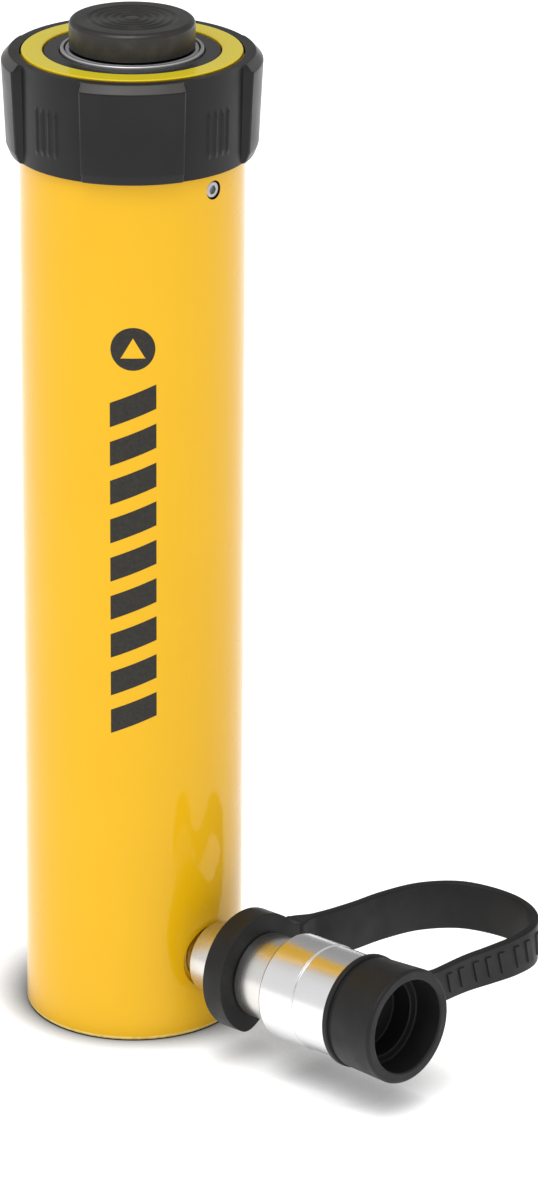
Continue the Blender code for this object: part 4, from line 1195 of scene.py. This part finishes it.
def make_mark(finishes):
    """A generic mark in place of lettering: a column of slanted bars under a disc with an upward arrow."""
    builder = bmesh.new()
    low, high = MARK_BARS_Z
    pitch = (high - low) / MARK_BARS
    thick = pitch * MARK_BAR_FILL
    for i in range(MARK_BARS):
        base = low + pitch * i + (pitch - thick) / 2 - MARK_BAR_SLANT / 2
        wrapped_bar(builder, base, thick)
    disc_and_arrow(builder)
    mark = new_piece("printed_mark", builder, finishes["ink"])
    shaded(mark)
    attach(mark, "cylinder")


def on_barrel(degrees, height, lift):
    """A point just off the barrel's wall, measured round it from the mark's middle."""
    turn = math.radians(MARK_ANGLE + degrees)
    radius = BARREL_R + lift
    return Vector((radius * math.cos(turn), radius * math.sin(turn), height)) * MM


def patch(builder, edges):
    """Adds a thin closed patch through upright edges (degrees, low, high), from left to right."""
    sections = []
    for degrees, low, high in edges:
        corners = ((low, -MARK_DEPTH), (low, MARK_LIFT), (high, MARK_LIFT), (high, -MARK_DEPTH))
        sections.append([on_barrel(degrees, height, lift) for height, lift in corners])
    lofted(builder, sections)


def wrapped_bar(builder, base, thick, columns=12):
    """One slanted bar of the mark."""
    edges = []
    for share in spread(0.0, 1.0, columns + 1):
        low = base + MARK_BAR_SLANT * share
        edges.append((MARK_HALF * (2 * share - 1), low, low + thick))
    patch(builder, edges)


def disc_and_arrow(builder, columns=40):
    """The disc, left open in the middle in the shape of an arrow head: an upper patch and a lower one."""
    per_degree = math.radians(1.0) * BARREL_R
    arrow_low, arrow_high = MARK_ARROW_Z
    upper = []
    lower = []
    for i in range(columns + 1):
        x = -MARK_DISC_R * math.cos(math.pi * i / columns)
        reach = math.sqrt(max(0.0, MARK_DISC_R**2 - x * x))
        slope = arrow_low + (arrow_high - arrow_low) * max(0.0, 1 - abs(x) / MARK_ARROW_HALF)
        turn = x / per_degree
        upper.append((turn, MARK_DISC_Z + max(-reach, slope), MARK_DISC_Z + reach + SLIVER))
        lower.append((turn, MARK_DISC_Z - reach - SLIVER, MARK_DISC_Z + max(-reach, arrow_low)))
    patch(builder, upper)
    patch(builder, lower)


# The CAD nodes that stay


def dress_cad_nodes(finishes):
    """Gives each CAD node that still shows its slot's finish, smooth between its sharp edges."""
    for name, node in frame["nodes"].items():
        if node.hide_render:
            continue
        node.data.materials.clear()
        node.data.materials.append(finishes[SLOT_OF[name]])
        shaded(node)


# The studio


def make_floor():
    """The white paper that the cylinder stands on."""
    builder = bmesh.new()
    bmesh.ops.create_grid(builder, x_segments=1, y_segments=1, size=6.0)
    new_piece("studio_floor", builder, studio_floor())


def make_light(name, place, aim, size, power, turn):
    """A soft box that shines from one place towards another, turned about its own axis."""
    data = bpy.data.lights.new(name, "AREA")
    data.shape = "RECTANGLE"
    data.size, data.size_y = size
    data.energy = power
    light = bpy.data.objects.new(name, data)
    light.location = place
    facing = (Vector(aim) - Vector(place)).to_track_quat("-Z", "Y").to_matrix()
    light.rotation_euler = (facing @ Matrix.Rotation(math.radians(turn), 3, "Z")).to_euler()
    bpy.context.scene.collection.objects.link(light)


def make_world():
    """A white surrounding, brighter on one side and dimmer on another."""
    world = bpy.data.worlds.new("studio")
    world.use_nodes = True
    tree = world.node_tree
    background = tree.nodes["Background"]
    background.inputs["Color"].default_value = (1.0, 1.0, 1.0, 1.0)
    way = tree.nodes.new("ShaderNodeTexCoord").outputs["Generated"]
    strength = WORLD_STRENGTH
    for side, start, low, high in WORLD_SIDES:
        towards = new_node(tree, "ShaderNodeVectorMath", way, side, operation="DOT_PRODUCT").outputs["Value"]
        factor = new_node(tree, "ShaderNodeMapRange", towards, start, 1.0, low, high).outputs[0]
        strength = new_node(tree, "ShaderNodeMath", strength, factor, operation="MULTIPLY").outputs[0]
    tree.links.new(strength, background.inputs["Strength"])
    bpy.context.scene.world = world


def make_studio():
    """The floor, the surrounding and the two soft boxes, shown without a film look."""
    make_floor()
    make_world()
    for light in LIGHTS:
        make_light(*light)
    bpy.context.scene.view_settings.view_transform = "Standard"


def make_camera():
    """The camera, which looks down at the cylinder's front from halfway between +X and -Y."""
    data = bpy.data.cameras.new("camera")
    data.lens = CAMERA_LENS
    data.clip_start = 0.01
    camera = bpy.data.objects.new("camera", data)
    side = math.radians(CAMERA_SIDE)
    place = Matrix.Translation(
        (CAMERA_DISTANCE * math.cos(side), CAMERA_DISTANCE * math.sin(side), CAMERA_HEIGHT)
    )
    heading = Matrix.Rotation(side + math.pi / 2 - math.radians(CAMERA_TURN), 4, "Z")
    pitch = Matrix.Rotation(math.pi / 2 - math.radians(CAMERA_PITCH), 4, "X")
    roll = Matrix.Rotation(math.radians(CAMERA_ROLL), 4, "Z")
    camera.matrix_world = place @ heading @ pitch @ roll
    bpy.context.scene.collection.objects.link(camera)
    bpy.context.scene.camera = camera


def make_all():
    """The camera and studio first, then every piece, and last the CAD nodes that still show."""
    make_camera()
    make_studio()
    finishes = make_finishes()
    for make in (
        make_barrel,
        make_lock_screw,
        make_gland,
        make_plunger,
        make_saddle,
        make_thread_protector,
        make_return_spring,
        make_nipple,
        make_coupler_body,
        make_sleeve,
        make_valve,
        make_clip,
        make_cap,
        make_strap,
        make_mark,
        dress_cad_nodes,
    ):
        make(finishes)


make_all()
